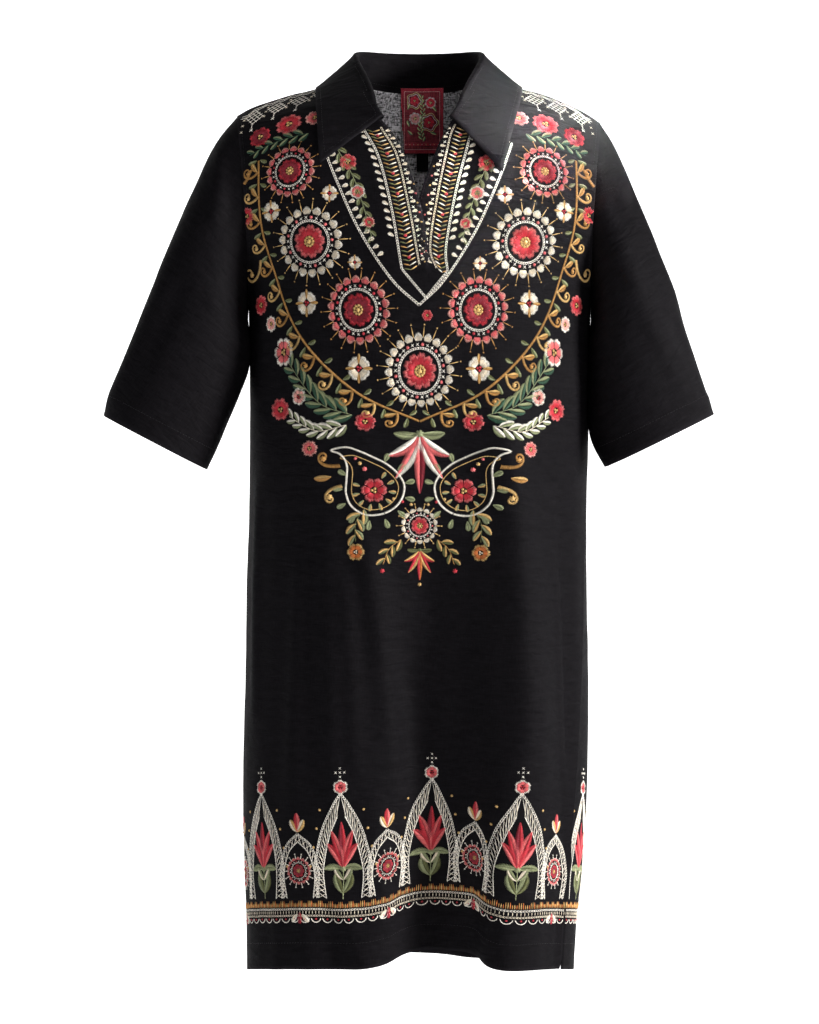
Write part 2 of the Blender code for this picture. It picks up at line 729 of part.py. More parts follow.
def tree_of(piece):
    solid = bmesh.new()
    solid.from_mesh(piece.data)
    tree = BVHTree.FromBMesh(solid)
    solid.free()
    return tree


def build():
    for old in list(bpy.data.objects):
        bpy.data.objects.remove(old)
    bpy.context.scene.collection.children.link(bpy.data.collections.new("shift_dress"))
    cloth = cloth_material("black_linen", CLOTH, 0.85)
    woven = cloth_material("woven_label", LABEL_RED, 0.7)
    form = garment_form()
    pieces = [wall_of_piece(form, number, name) for number, name in enumerate(PIECES)]
    collar = collar_piece(form)
    form.free()
    behind = [tree_of(pieces[1]), tree_of(collar)]
    label = laid_tag("label", behind, LABEL_SIZE, LABEL_CENTRE, LABEL_TOP, LABEL_LEAN, LABEL_HANG,
                     LABEL_GRID, LAID_GAP, LABEL_WALL)
    hung = LABEL_HANG * ((LABEL_TOP - TAG_TOP) / LABEL_SIZE[1]) ** 1.5
    size_tag = laid_tag("size_tag", behind[:1], TAG_SIZE, TAG_CENTRE, TAG_TOP, 0, 0, TAG_GRID,
                        hung + LAID_GAP - SEAM_GAP - LABEL_WALL, LABEL_WALL)
    for piece in pieces + [collar, size_tag]:
        piece.data.materials.append(cloth)
    label.data.materials.append(woven)


build()
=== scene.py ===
import cmath
import heapq
import math
import random
import bmesh
import bpy
import numpy as np
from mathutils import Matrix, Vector, noise
from mathutils.bvhtree import BVHTree
from mathutils.kdtree import KDTree


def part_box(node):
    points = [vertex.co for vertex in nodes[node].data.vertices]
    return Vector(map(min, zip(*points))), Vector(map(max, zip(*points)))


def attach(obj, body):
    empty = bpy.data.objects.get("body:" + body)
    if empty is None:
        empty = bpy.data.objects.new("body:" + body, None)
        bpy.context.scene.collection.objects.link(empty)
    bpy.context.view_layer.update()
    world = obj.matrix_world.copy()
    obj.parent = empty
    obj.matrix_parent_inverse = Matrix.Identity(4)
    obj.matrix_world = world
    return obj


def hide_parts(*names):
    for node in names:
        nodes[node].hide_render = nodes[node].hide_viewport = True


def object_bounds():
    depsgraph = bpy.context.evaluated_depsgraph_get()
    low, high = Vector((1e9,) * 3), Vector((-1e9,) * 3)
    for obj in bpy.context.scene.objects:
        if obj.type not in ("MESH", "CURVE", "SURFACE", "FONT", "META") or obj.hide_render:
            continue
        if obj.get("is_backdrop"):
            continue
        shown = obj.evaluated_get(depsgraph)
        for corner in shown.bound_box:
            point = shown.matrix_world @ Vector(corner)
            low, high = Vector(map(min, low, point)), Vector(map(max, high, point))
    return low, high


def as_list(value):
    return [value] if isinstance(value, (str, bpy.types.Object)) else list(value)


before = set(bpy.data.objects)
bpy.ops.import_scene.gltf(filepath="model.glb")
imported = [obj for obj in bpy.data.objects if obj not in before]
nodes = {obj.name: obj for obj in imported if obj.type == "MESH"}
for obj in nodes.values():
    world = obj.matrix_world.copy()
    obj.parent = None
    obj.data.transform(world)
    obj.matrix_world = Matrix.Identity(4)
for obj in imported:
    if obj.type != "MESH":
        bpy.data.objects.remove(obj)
cadBox = [list(corner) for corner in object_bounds()]
mm = 0.001
print("frame loaded:", ", ".join(sorted(nodes)))


def feed(tree, made, sockets):
    # Each socket, by its name or number, gets a value or another node's output
    for key, value in sockets.items():
        if isinstance(value, bpy.types.NodeSocket):
            tree.links.new(value, made.inputs[key])
        else:
            made.inputs[key].default_value = value


def newMaterial(name):
    material = bpy.data.materials.new(name)
    material.use_nodes = True
    return material, material.node_tree


def node(tree, kind, sockets, out=0, **settings):
    made = tree.nodes.new(kind)
    for key, value in settings.items():
        setattr(made, key, value)
    feed(tree, made, sockets)
    return made.outputs[out]


# Camera, light and stage

cameraView = {"place": (-0.0103, -3.8, -0.4644), "lens": 123.7}
studio = {
    "floor": -2.4, "wall": 5.5, "reach": 12.0, "white": (0.9, 0.9, 0.9, 1), "roughness": 0.9, "specular": 0.1,
    "wallGlow": 1.0, "sky": (0.93, 0.95, 1.0, 1), "skyStrength": 0.045,
}
studioLamps = [
    {"name": "key", "place": (3.3, -1.5, 0.55), "size": 0.8, "power": 235, "colour": (1.0, 0.98, 0.97)},
    {"name": "front", "place": (1.9, -3.9, 1.2), "size": 1.2, "power": 34, "colour": (1.0, 0.99, 0.98)},
    {"name": "fill", "place": (-3.7, -2.0, -0.5), "size": 1.6, "power": 50, "colour": (0.96, 0.97, 1.0)},
    {"name": "shoulder", "place": (1.7, 0.1, 1.2), "size": 0.1, "power": 0.85, "colour": (1.0, 0.99, 0.98),
     "aim": (0.098, -0.07, -0.075), "spread": 6},
    {"name": "neck", "place": (0.0, -2.4, 0.5), "size": 0.6, "power": 3.2, "colour": (1.0, 0.99, 0.98),
     "aim": (0.0, 0.05, -0.08)},
]


def addCamera(view):
    bpy.ops.object.camera_add(location=view["place"], rotation=(math.radians(90), 0, 0))
    camera = bpy.context.object
    camera.data.lens = view["lens"]
    camera.data.clip_end = 60
    bpy.context.scene.camera = camera


def addStudio(room, lamps):
    bpy.ops.mesh.primitive_plane_add(size=2 * room["reach"], location=(0, 0, room["floor"]))
    floor = bpy.context.object
    floor.name = "studioFloor"
    bpy.ops.mesh.primitive_plane_add(size=2 * room["reach"], location=(0, room["wall"], 0),
                                     rotation=(math.radians(90), 0, 0))
    wall = bpy.context.object
    wall.name = "studioWall"
    for paper, glow in ((floor, 0), (wall, room["wallGlow"])):
        material, tree = newMaterial(paper.name + "Paper")
        feed(tree, tree.nodes["Principled BSDF"], {
            "Base Color": room["white"], "Roughness": room["roughness"], "Emission Strength": glow,
            "Specular IOR Level": room["specular"], "Emission Color": (1, 1, 1, 1)})
        paper.data.materials.append(material)
        paper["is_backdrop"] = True
    world = bpy.data.worlds.new("studioSky")
    bpy.context.scene.world = world
    world.use_nodes = True
    feed(world.node_tree, world.node_tree.nodes["Background"], {
        "Color": room["sky"], "Strength": room["skyStrength"]})
    for lamp in lamps:
        bpy.ops.object.light_add(type="AREA", location=lamp["place"])
        light = bpy.context.object
        light.name = lamp["name"]
        light.data.size = lamp["size"]
        light.data.energy = lamp["power"]
        light.data.color = lamp["colour"]
        light.data.spread = math.radians(lamp.get("spread", 180))
        aim = Vector(lamp.get("aim", (0, 0, -0.45))) - light.location
        light.rotation_euler = aim.to_track_quat("-Z", "Y").to_euler()
    bpy.context.scene.view_settings.view_transform = "Standard"


addCamera(cameraView)
addStudio(studio, studioLamps)
print("camera and studio ready")


# Materials

linen = {
    "dark": (0.0025, 0.0021, 0.0028), "light": (0.0066, 0.0058, 0.0072), "worn": (0.013, 0.0115, 0.014),
    "threadsPerMetre": 1700, "slub": (1100, 90), "mottle": 0.75, "toneFrom": 1.10, "toneTo": 1.66,
    "bump": 0.4, "rumple": 0.0036, "roughness": 0.72, "specular": 0.06, "sheen": 0.0,
}
# The back's reverse: far paler than the black face, painted light for the shade inside the back behind the
# neck
linenReversePaintedLight = {
    "dark": (0.045, 0.042, 0.046), "light": (0.95, 0.92, 0.95), "worn": (0.30, 0.28, 0.29),
    "threadsPerMetre": 900, "slub": (620, 190), "mottle": 0.35, "toneFrom": 1.02, "toneTo": 1.30,
    "bump": 0.8, "rumple": 0.0016, "roughness": 0.9, "specular": 0.06, "sheen": 0.02,
}
# How many times a metre the cloth's clouds and crinkles repeat, across and along, and heights in metres
clothNoise = {"drift": (38, 170), "crinkle": (34, 105), "slubHeight": 1.4, "threadHeight": 0.00018}
# The label's woven red, made lighter as painted light for the shade inside the neck
labelWeaveWithPaintedLight = {
    "dark": (0.08, 0.010, 0.016), "light": (0.55, 0.07, 0.10), "worn": (0.85, 0.12, 0.16),
    "threadsPerMetre": 2600, "slub": (1100, 90), "mottle": 0.35, "toneFrom": 0.95, "toneTo": 1.45,
    "bump": 0.5, "rumple": 0.0008, "roughness": 0.6, "specular": 0.2, "sheen": 0.03,
}


def noiseOver(tree, uv, stretch, sockets):
    mapped = node(tree, "ShaderNodeMapping", {"Vector": uv, "Scale": (*stretch, 1)})
    return node(tree, "ShaderNodeTexNoise", {"Vector": mapped, "Scale": 1.0, **sockets})


def linenMaterial(name, cloth):
    material, tree = newMaterial(name)
    uv = node(tree, "ShaderNodeUVMap", {}, uv_map="cloth")
    bandScale = cloth["threadsPerMetre"] / 2 * math.pi / 10  # a wave texture has a band each 2 pi / 20 units
    wave = {"Vector": uv, "Scale": bandScale, "Distortion": 1.6, "Detail": 1.0, "Detail Scale": 0.06}
    threads = [node(tree, "ShaderNodeTexWave", wave, "Fac", bands_direction=way) for way in ("X", "Y")]
    weave = node(tree, "ShaderNodeMath", {0: threads[0], 1: threads[1]}, operation="MAXIMUM")
    slubs = [noiseOver(tree, uv, stretch, {"Detail": 3.0, "Roughness": 0.6})
             for stretch in (cloth["slub"], cloth["slub"][::-1])]
    slub = node(tree, "ShaderNodeMath", {0: slubs[0], 1: slubs[1]}, operation="ADD")
    cloud = noiseOver(tree, uv, clothNoise["drift"], {"Detail": 4.0, "Roughness": 0.62})
    clouded = node(tree, "ShaderNodeMath", {0: cloud, 1: cloth["mottle"], 2: slub}, operation="MULTIPLY_ADD")
    tone = node(tree, "ShaderNodeMapRange",
                {"Value": clouded, "From Min": cloth["toneFrom"], "From Max": cloth["toneTo"]})
    # On a colour mix, sockets 6 and 7 are its two colours and output 2 is the result
    colour = node(tree, "ShaderNodeMix", {0: tone, 6: (*cloth["dark"], 1), 7: (*cloth["light"], 1)}, 2,
                  data_type="RGBA")
    wear = node(tree, "ShaderNodeAttribute", {}, "Fac", attribute_name="wear")
    worn = node(tree, "ShaderNodeMix", {0: wear, 6: colour, 7: (*cloth["worn"], 1)}, 2, data_type="RGBA")
    height = node(tree, "ShaderNodeMath", {0: slub, 1: clothNoise["slubHeight"], 2: weave},
                  operation="MULTIPLY_ADD")
    bump = node(tree, "ShaderNodeBump",
                {"Height": height, "Strength": cloth["bump"], "Distance": clothNoise["threadHeight"]})
    crumple = noiseOver(tree, uv, clothNoise["crinkle"], {"Detail": 2.5, "Roughness": 0.5, "Distortion": 0.6})
    rumpled = node(tree, "ShaderNodeBump",
                   {"Height": crumple, "Normal": bump, "Strength": 0.6, "Distance": cloth["rumple"]})
    feed(tree, tree.nodes["Principled BSDF"], {
        "Base Color": worn, "Normal": rumpled, "Roughness": cloth["roughness"],
        "Specular IOR Level": cloth["specular"], "Sheen Weight": cloth["sheen"], "Sheen Roughness": 0.4,
        "Sheen Tint": (0.9, 0.9, 1.0, 1)})
    return material


linenOutside = linenMaterial("blackLinen", linen)
linenInsidePaintedLight = linenMaterial("blackLinenReversePaintedLight", linenReversePaintedLight)
print("cloth materials ready")


# Cloth shells: the outer side of each solid, squared up, folded at its free edges and smoothed

# In millimetres; an edge of the solid's rim is shorter than rimEdge, and levels subdivide the cloth
clothShell = {"thickness": 0.7, "rimEdge": 4.2, "levels": 2}


def third(face, edge):
    return next(vert for vert in face.verts if vert not in edge.verts)


def edgeBetween(one, other):
    return next(edge for edge in one.link_edges if edge.other_vert(one) is other)


def straighten(bm):
    # The solid's triangles are joined again in pairs, to the rows of quads that they came from
    longest = {face: max(face.edges, key=lambda edge: edge.calc_length()) for face in bm.faces}
    mate, diagonals, queue = set(), [], []

    def skew(edge):
        a, b = (vert.co for vert in edge.verts)
        tops = [third(face, edge).co for face in edge.link_faces]
        return sum(abs((a - top).normalized().dot((b - top).normalized())) for top in tops)

    def settle(edge):
        mate.update(edge.link_faces)
        diagonals.append(edge)
        near, far = edge.link_faces
        quad = [third(near, edge), edge.verts[0], third(far, edge), edge.verts[1]]
        for index, start in enumerate(quad):
            end, before, after = quad[(index + 1) % 4], quad[index - 1], quad[(index + 2) % 4]
            side = edgeBetween(start, end)
            for face in side.link_faces:
                if face in mate:
                    continue
                top = third(face, side)
                runStart = (top.co - start.co).normalized().dot((start.co - before.co).normalized())
                runEnd = (top.co - end.co).normalized().dot((end.co - after.co).normalized())
                diagonal = edgeBetween(top, end if runStart > runEnd else start)
                clear = -abs(runStart - runEnd)
                heapq.heappush(queue, (clear, len(diagonals), face.index, index, face, diagonal))

    clean = [edge for edge in bm.edges if len(edge.link_faces) == 2
             and all(longest[face] is edge for face in edge.link_faces)]
    settle(min(clean, key=skew))
    while queue:
        *_, face, diagonal = heapq.heappop(queue)
        free = len(diagonal.link_faces) == 2 and not any(other in mate for other in diagonal.link_faces)
        if face not in mate and free:
            settle(diagonal)
    bmesh.ops.dissolve_edges(bm, edges=diagonals)
    loose = [face for face in bm.faces if len(face.verts) == 3]
    bmesh.ops.join_triangles(bm, faces=loose, angle_face_threshold=math.pi, angle_shape_threshold=math.pi)


def solidMesh(name):
    # A solid of the frame, with its faces' corners joined where they meet
    bm = bmesh.new()
    bm.from_mesh(nodes[name].data)
    bmesh.ops.remove_doubles(bm, verts=bm.verts, dist=0.02 * mm)
    return bm


def outerSide(name):
    bm = solidMesh(name)
    rim = [face for face in bm.faces
           if min(edge.calc_length() for edge in face.edges) < clothShell["rimEdge"] * mm]
    bmesh.ops.delete(bm, geom=rim, context="FACES")
    low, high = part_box(name)
    middle = (low + high) / 2
    if name in ("front", "back"):
        middle.x, middle.y = 0, 0
    seen, sides = set(), []
    for start in bm.faces:
        if start in seen:
            continue
        side, stack = [], [start]
        seen.add(start)
        while stack:
            face = stack.pop()
            side.append(face)
            for edge in face.edges:
                for other in edge.link_faces:
                    if other not in seen:
                        seen.add(other)
                        stack.append(other)
        sides.append(side)

    def facing(side):
        return sum(face.normal.dot(face.calc_center_median() - middle) * face.calc_area() for face in side)

    sides.sort(key=facing)
    bmesh.ops.delete(bm, geom=[face for side in sides[:-1] for face in side], context="FACES")
    bm.faces.index_update()
    straighten(bm)
    bm.normal_update()
    return bm


def rowsFrom(vert, edges, count):
    edge = min((edge for edge in vert.link_edges if edge not in edges),
               key=lambda edge: sum(abs((edge.other_vert(vert).co - vert.co).normalized().dot(
                   (rim.other_vert(vert).co - vert.co).normalized()))
                   for rim in vert.link_edges if rim in edges))
    path = [vert]
    while len(path) <= count:
        path.append(edge.other_vert(path[-1]))
        faces = set(edge.link_faces)
        onward = [other for other in path[-1].link_edges if not faces & set(other.link_faces)]
        if len(onward) != 1:
            break
        edge = onward[0]
    return path


def extrudeRow(bm, line, current):
    # One more row beyond a line of edges; the dictionaries lead from a rim's vertices to their row's
    made = bmesh.ops.extrude_edge_only(bm, edges=line)["geom"]
    fresh = {item for item in made if isinstance(item, bmesh.types.BMVert)}
    following = {root: next(edge.other_vert(old) for edge in old.link_edges if edge.other_vert(old) in fresh)
                 for root, old in current.items()}
    return [item for item in made if isinstance(item, bmesh.types.BMEdge)], following


def turnUnder(cloth, test, fold, level=False):
    # The free edge rolls under and its allowance follows the cloth's own rows on the inside
    bm = bmesh.new()
    bm.from_mesh(cloth.data)
    bm.normal_update()
    line = freeEdges(bm, test, level)
    layer = bm.loops.layers.uv["cloth"]
    rim = set(line)
    spots, paths = {}, {}
    for vert in {vert for edge in line for vert in edge.verts}:
        paths[vert] = [(step.co.copy(), step.normal.copy(), step.link_loops[0][layer].uv.copy())
                       for step in rowsFrom(vert, rim, 40)]
    rows = min(len(path) for path in paths.values())
    for path in paths.values():
        run = 0.0
        for index in range(1, rows):
            run += (path[index][0] - path[index - 1][0]).length
            if run > fold["allowance"] * mm:
                rows = min(rows, index + 1)
                break
    current = {vert: vert for vert in paths}
    for step in range(-2, rows):
        line, current = extrudeRow(bm, line, current)
        # The first two rows make the round of the fold: how far in, and how far past the edge
        share, drop = {-2: (0.3, 0.45), -1: (0.75, 0.45)}.get(step, (1.0, 0.0))
        for root, new in current.items():
            rimPlace, _, rimSpot = paths[root][0]
            place, normal, spot = paths[root][max(step, 0)]
            up = (paths[root][1][0] - rimPlace).normalized()
            new.co = place - normal * fold["depth"] * share * mm - up * drop * mm
            spots[new] = rimSpot * 2 - spot
    for vert, spot in spots.items():
        for loop in vert.link_loops:
            loop[layer].uv = spot
    bm.to_mesh(cloth.data)
    bm.free()


def foldSeam(cloth, test):
    # A seam's edge is turned straight in, first a little past the next piece's edge
    bm = bmesh.new()
    bm.from_mesh(cloth.data)
    bm.normal_update()
    line = freeEdges(bm, test)
    for edge in line:
        edge.smooth = False
    rims = {}
    for vert in {vert for edge in line for vert in edge.verts}:
        inward = sum((edge.other_vert(vert).co - vert.co for edge in vert.link_edges if edge not in line),
                     start=Vector())
        rims[vert] = (vert.co.copy(), vert.normal.copy(), inward.normalized())
    current = {vert: vert for vert in rims}
    for past, drop in seamFold["steps"]:
        line, current = extrudeRow(bm, line, current)
        for root, new in current.items():
            place, normal, inward = rims[root]
            new.co = place - inward * past * mm - normal * drop * mm
    bm.to_mesh(cloth.data)
    bm.free()


def freeEdges(bm, test, level=False):
    # Free edges in the place that test allows, and only level ones where that is asked
    chosen = []
    for edge in bm.edges:
        run = edge.verts[1].co - edge.verts[0].co
        flat = abs(run.z) < 0.7 * run.length
        if edge.is_boundary and all(test(vert.co / mm) for vert in edge.verts) and (flat or not level):
            chosen.append(edge)
    return chosen


def clothObject(bm, name):
    mesh = bpy.data.meshes.new(name)
    bm.to_mesh(mesh)
    bm.free()
    cloth = bpy.data.objects.new(name, mesh)
    bpy.context.scene.collection.objects.link(cloth)
    mesh.materials.append(linenOutside)
    mesh.materials.append(linenInsidePaintedLight)
    return cloth


def activate(thing):
    bpy.ops.object.select_all(action="DESELECT")
    thing.select_set(True)
    bpy.context.view_layer.objects.active = thing


def editAll(thing):
    # Edit mode with all selected, and a plan to lay it out on
    activate(thing)
    bpy.ops.object.mode_set(mode="EDIT")
    bpy.ops.mesh.select_all(action="SELECT")
    thing.data.uv_layers.new(name="cloth")


def layFlat(cloth, target):
    # The cut's own plane: as little stretch as can be, true in area, turned and set where target says
    editAll(cloth)
    bpy.ops.uv.unwrap(method="CONFORMAL", margin=0)
    bpy.ops.uv.select_all(action="SELECT")
    bpy.ops.uv.minimize_stretch(iterations=120)
    bpy.ops.object.mode_set(mode="OBJECT")
    mesh = cloth.data
    layer = mesh.uv_layers["cloth"].data
    flatArea = 0.0
    for face in mesh.polygons:
        corners = [complex(*layer[index].uv) for index in face.loop_indices]
        flatArea += sum((a.conjugate() * b).imag for a, b in zip(corners, corners[1:] + corners[:1])) / 2
    scale = math.sqrt(sum(face.area for face in mesh.polygons) / abs(flatArea))
    flat, real = [], []
    for loop in mesh.loops:
        aim = target(mesh.vertices[loop.vertex_index].co)
        if aim is not None:
            flat.append(complex(*layer[loop.index].uv))
            real.append(complex(*aim))
    flat, real = np.array(flat), np.array(real)
    flatMiddle, realMiddle = flat.mean(), real.mean()
    turn = ((real - realMiddle) * (flat - flatMiddle).conj()).sum()
    turn *= scale / abs(turn)
    for loop in layer:
        place = turn * (complex(*loop.uv) - flatMiddle) + realMiddle
        loop.uv = (place.real, place.imag)


def applyModifier(cloth, kind, **values):
    activate(cloth)
    modifier = cloth.modifiers.new(kind.lower(), kind)
    for key, value in values.items():
        setattr(modifier, key, value)
    bpy.ops.object.modifier_apply(modifier=modifier.name)


def smoothCloth(cloth, levels=clothShell["levels"]):
    applyModifier(cloth, "SUBSURF", levels=levels, render_levels=levels, boundary_smooth="PRESERVE_CORNERS")


def doubleRows(cloth, test):
    activate(cloth)
    bpy.ops.object.mode_set(mode="EDIT")
    bpy.ops.mesh.select_mode(type="EDGE")
    bm = bmesh.from_edit_mesh(cloth.data)
    for edge in bm.edges:
        edge.select = test(edge)
    bmesh.update_edit_mesh(cloth.data)
    bpy.ops.mesh.loop_multi_select(ring=True)
    bpy.ops.mesh.subdivide(number_cuts=1)
    bpy.ops.object.mode_set(mode="OBJECT")


def thicken(cloth):
    applyModifier(cloth, "SOLIDIFY", thickness=clothShell["thickness"] * mm, offset=-1,
                  material_offset=1, material_offset_rim=0)
    activate(cloth)
    bpy.ops.object.shade_smooth()


def uvOf(cloth):
    mesh = cloth.data
    places = np.zeros((len(mesh.vertices), 2))
    for loop, spot in zip(mesh.loops, mesh.uv_layers["cloth"].data):
        places[loop.vertex_index] = spot.uv
    return places / mm


def treeOf(places):
    tree = KDTree(len(places))
    for index, place in enumerate(places):
        tree.insert(place, index)
    tree.balance()
    return tree


def seamFade(mesh, reach):
    # Folds and unevenness die out towards the side seams, where the next piece goes on
    used = {}
    for face in mesh.polygons:
        for key in face.edge_keys:
            used[key] = used.get(key, 0) + 1
    rim = {index for key, count in used.items() if count == 1 for index in key}
    side = treeOf([vert.co for vert in mesh.vertices
                   if vert.index in rim and abs(vert.co.x) > 0.14 and -0.94 < vert.co.z < -0.03])
    gaps = np.array([side.find(vert.co)[2] for vert in mesh.vertices]) / mm
    return 1 - np.exp(-((gaps / reach) ** 2))


# Waves a metre and height in millimetres of the cloth's broad and fine unevenness
unevenness = {
    "broad": (16, 16, 7), "broadHeight": 1.21, "fine": (60, 60, 34), "fineHeight": 0.385, "seamReach": 13,
}


def crease(cloth, creases):
    mesh = cloth.data
    spots = uvOf(cloth)
    rise = np.zeros(len(spots))
    for depth, width, toHem, line in creases:
        line = np.array(line, float)
        lengths = np.hypot(*np.diff(line, axis=0).T)
        total, run = lengths.sum(), 0.0
        best = np.full(len(spots), 1e9)
        share = np.zeros(len(spots))
        for start, end, length in zip(line, line[1:], lengths):
            t = np.clip(((spots - start) @ (end - start)) / length**2, 0, 1)
            gap = np.hypot(*(spots - start - t[:, None] * (end - start)).T)
            closer = gap < best
            best[closer] = gap[closer]
            share[closer] = (run + t[closer] * length) / total
            run += length
        # A fold runs out softly over a quarter of its length at each end
        ends = np.clip(share / 0.25, 0, 1) * np.clip((1 - share) / 0.25, 0, 1)
        ends = ends * ends * (3 - 2 * ends)
        if toHem:
            ends = np.where(share > 0.5, 1.0, ends)
        rise += depth * np.exp(-((best / width) ** 2)) * ends
    normals = np.array([vert.normal for vert in mesh.vertices])
    places = np.array([vert.co for vert in mesh.vertices])
    broad, fine = (Vector(unevenness[kind]) for kind in ("broad", "fine"))
    for index, place in enumerate(places):
        rise[index] += noise.noise(Vector(place) * broad) * unevenness["broadHeight"]
        rise[index] += noise.noise(Vector(place) * fine + Vector((9, 0, 0))) * unevenness["fineHeight"]
    rise *= seamFade(mesh, unevenness["seamReach"])
    places += normals * rise[:, None] * mm
    mesh.vertices.foreach_set("co", places.ravel())
    mesh.update()


# Creases: depth, width, whether it runs on to the hem, and its line in the flat plan, all in millimetres
frontCreases = [
    (17.0, 34, True, [(76, -250), (82, -318), (94, -426), (108, -557), (115, -687), (111, -806),
                      (107, -955)]),
    (5.0, 18, False, [(84, -300), (99, -426), (113, -557), (122, -687), (122, -790)]),
    (-15.0, 40, True, [(6, -430), (4, -560), (2, -700), (7, -860), (9, -955)]),
    (7.0, 14, False, [(-68, -430), (-60, -481), (-47, -550), (-36, -620), (-27, -690), (-16, -770),
                      (-7, -880)]),
    (4.0, 9, False, [(-80, -490), (-76, -540), (-70, -650), (-67, -780)]),
    (4.5, 11, False, [(-124, -460), (-132, -600), (-140, -820)]),
    (3.0, 10, False, [(-191, -400), (-195, -560), (-197, -720)]),
    (3.2, 7, False, [(152, -470), (156, -518), (163, -605), (170, -714), (180, -757), (188, -830)]),
    (-5.5, 14, True, [(160, -400), (167, -560), (175, -690), (184, -800), (189, -955)]),
    (-2.0, 25, False, [(60, -470), (63, -600), (64, -720), (65, -860)]),
    (-4.4, 20, False, [(-23, -560), (-10, -700), (-5, -860)]),
    (5.0, 15, False, [(-98, -430), (-95, -560), (-90, -720), (-86, -860)]),
    (5.5, 14, True, [(-92, -850), (-79, -905), (-62, -955)]),
    (2.0, 10, True, [(-160, -820), (-168, -955)]),
    (1.4, 9, True, [(-130, -880), (-127, -955)]),
    (-2.6, 14, False, [(-168, -250), (-150, -330), (-140, -420)]),
    (-3.4, 13, False, [(176, -230), (164, -300), (155, -400)]),
    (-1.0, 8, False, [(-20, -225), (-34, -255), (-40, -300)]),
    (-1.2, 9, False, [(30, -225), (42, -262), (40, -310)]),
    (1.0, 6, False, [(122, -385), (146, -392), (170, -386)]),
    (-0.9, 5, False, [(128, -430), (150, -428), (172, -440)]),
    (0.9, 6, False, [(126, -474), (146, -482), (168, -478)]),
    (-0.8, 5, False, [(134, -530), (150, -534), (170, -528)]),
    (-0.9, 6, False, [(112, -340), (140, -344), (166, -352)]),
    (0.9, 7, False, [(60, -935), (76, -912), (100, -905)]),
]
backCreases = [
    (-2.0, 11, False, [(-60, -160), (-20, -172), (30, -168), (70, -158)]),
    (-2.6, 13, False, [(-140, -240), (-100, -300), (-84, -420)]),
    (-2.8, 13, False, [(150, -230), (120, -310), (96, -430)]),
    (6.0, 22, True, [(20, -360), (6, -560), (14, -760), (20, -955)]),
    (-6.5, 27, True, [(-62, -420), (-74, -620), (-70, -955)]),
    (-6.0, 25, True, [(96, -460), (104, -640), (92, -955)]),
    (5.0, 20, True, [(-126, -500), (-136, -700), (-130, -955)]),
    (1.6, 12, False, [(60, -300), (40, -420), (46, -520)]),
    (1.8, 7, False, [(-30, -560), (-38, -700), (-30, -860)]),
    (2.2, 8, False, [(150, -540), (158, -700), (150, -880)]),
]


def makePanel(name, sign, creases):
    cloth = clothObject(outerSide(name), name + "Cloth")
    doubleRows(cloth, lambda edge: all(abs(vert.co.x) < 0.002 and vert.co.z < -0.2 for vert in edge.verts))
    # The plan's across and up follow the front's own, below the chest and near the middle
    layFlat(cloth, lambda place: (sign * place.x, place.z)
            if abs(place.x) < 0.05 and place.z < -0.25 else None)
    smoothCloth(cloth)
    crease(cloth, creases)
    return cloth


sleeveCloth = {
    "sleeve_right": {"piece": "sleeveRightCloth", "side": -1, "creases": [
        (2.8, 9, False, [(14, -24), (46, -58), (84, -112)]),
        (-2.2, 8, False, [(34, -20), (64, -52), (98, -96)]),
        (3.4, 17, False, [(30, -110), (52, -190), (64, -290), (70, -380)]),
        (-3.0, 14, False, [(78, -150), (88, -230), (92, -330)]),
        (1.3, 7, False, [(22, -300), (44, -330), (78, -340)]),
        (3.0, 15, False, [(-60, -100), (-46, -200), (-50, -330)]),
        (-2.4, 11, False, [(-96, -150), (-84, -230), (-70, -260)]),
        (-1.6, 8, False, [(120, -170), (96, -196), (60, -206)]),
        (1.0, 6, False, [(-20, -180), (0, -200), (30, -204)]),
    ]},
    "sleeve_left": {"piece": "sleeveLeftCloth", "side": 1, "creases": [
        (3.4, 9, False, [(-16, -26), (-30, -90), (-34, -170), (-22, -250)]),
        (-3.0, 13, False, [(-44, -30), (-60, -90), (-58, -180), (-54, -300)]),
        (3.2, 14, False, [(-84, -110), (-86, -200), (-84, -320), (-84, -380)]),
        (1.5, 6, False, [(-18, -306), (-44, -318), (-74, -310)]),
        (-1.1, 6, False, [(-24, -334), (-50, -340), (-80, -330)]),
        (-1.8, 9, False, [(-110, -150), (-84, -196), (-50, -214)]),
        (3.0, 14, False, [(50, -110), (42, -210), (48, -330)]),
        (-2.4, 11, False, [(86, -140), (78, -210), (60, -250)]),
        (1.1, 7, False, [(0, -210), (20, -226), (44, -222)]),
    ]},
}


def shortestPath(start, end):
    # The underarm seam, from the armhole's foot to the cuff
    reached, queue = {}, [(0.0, start.index, start, None)]
    while queue:
        far, _, here, before = heapq.heappop(queue)
        if here in reached:
            continue
        reached[here] = before
        if here is end:
            break
        for edge in here.link_edges:
            there = edge.other_vert(here)
            if there not in reached:
                heapq.heappush(queue, (far + edge.calc_length(), there.index, there, here))
    path = [end]
    while reached[path[-1]] is not None:
        path.append(reached[path[-1]])
    return path


sleeveLean = {"from": 184, "reach": 26, "heights": (-392, -282, -258), "shares": (1, 1, 0), "by": 2.8}


def leanIn(cloth, side):
    # Under the armhole the sleeve rests on the body's side
    for vert in cloth.data.vertices:
        away = max(0.0, side * vert.co.x / mm - sleeveLean["from"]) / sleeveLean["reach"]
        share = np.interp(vert.co.z / mm, sleeveLean["heights"], sleeveLean["shares"])
        vert.co.x -= side * sleeveLean["by"] * mm * share * math.exp(-away * away)


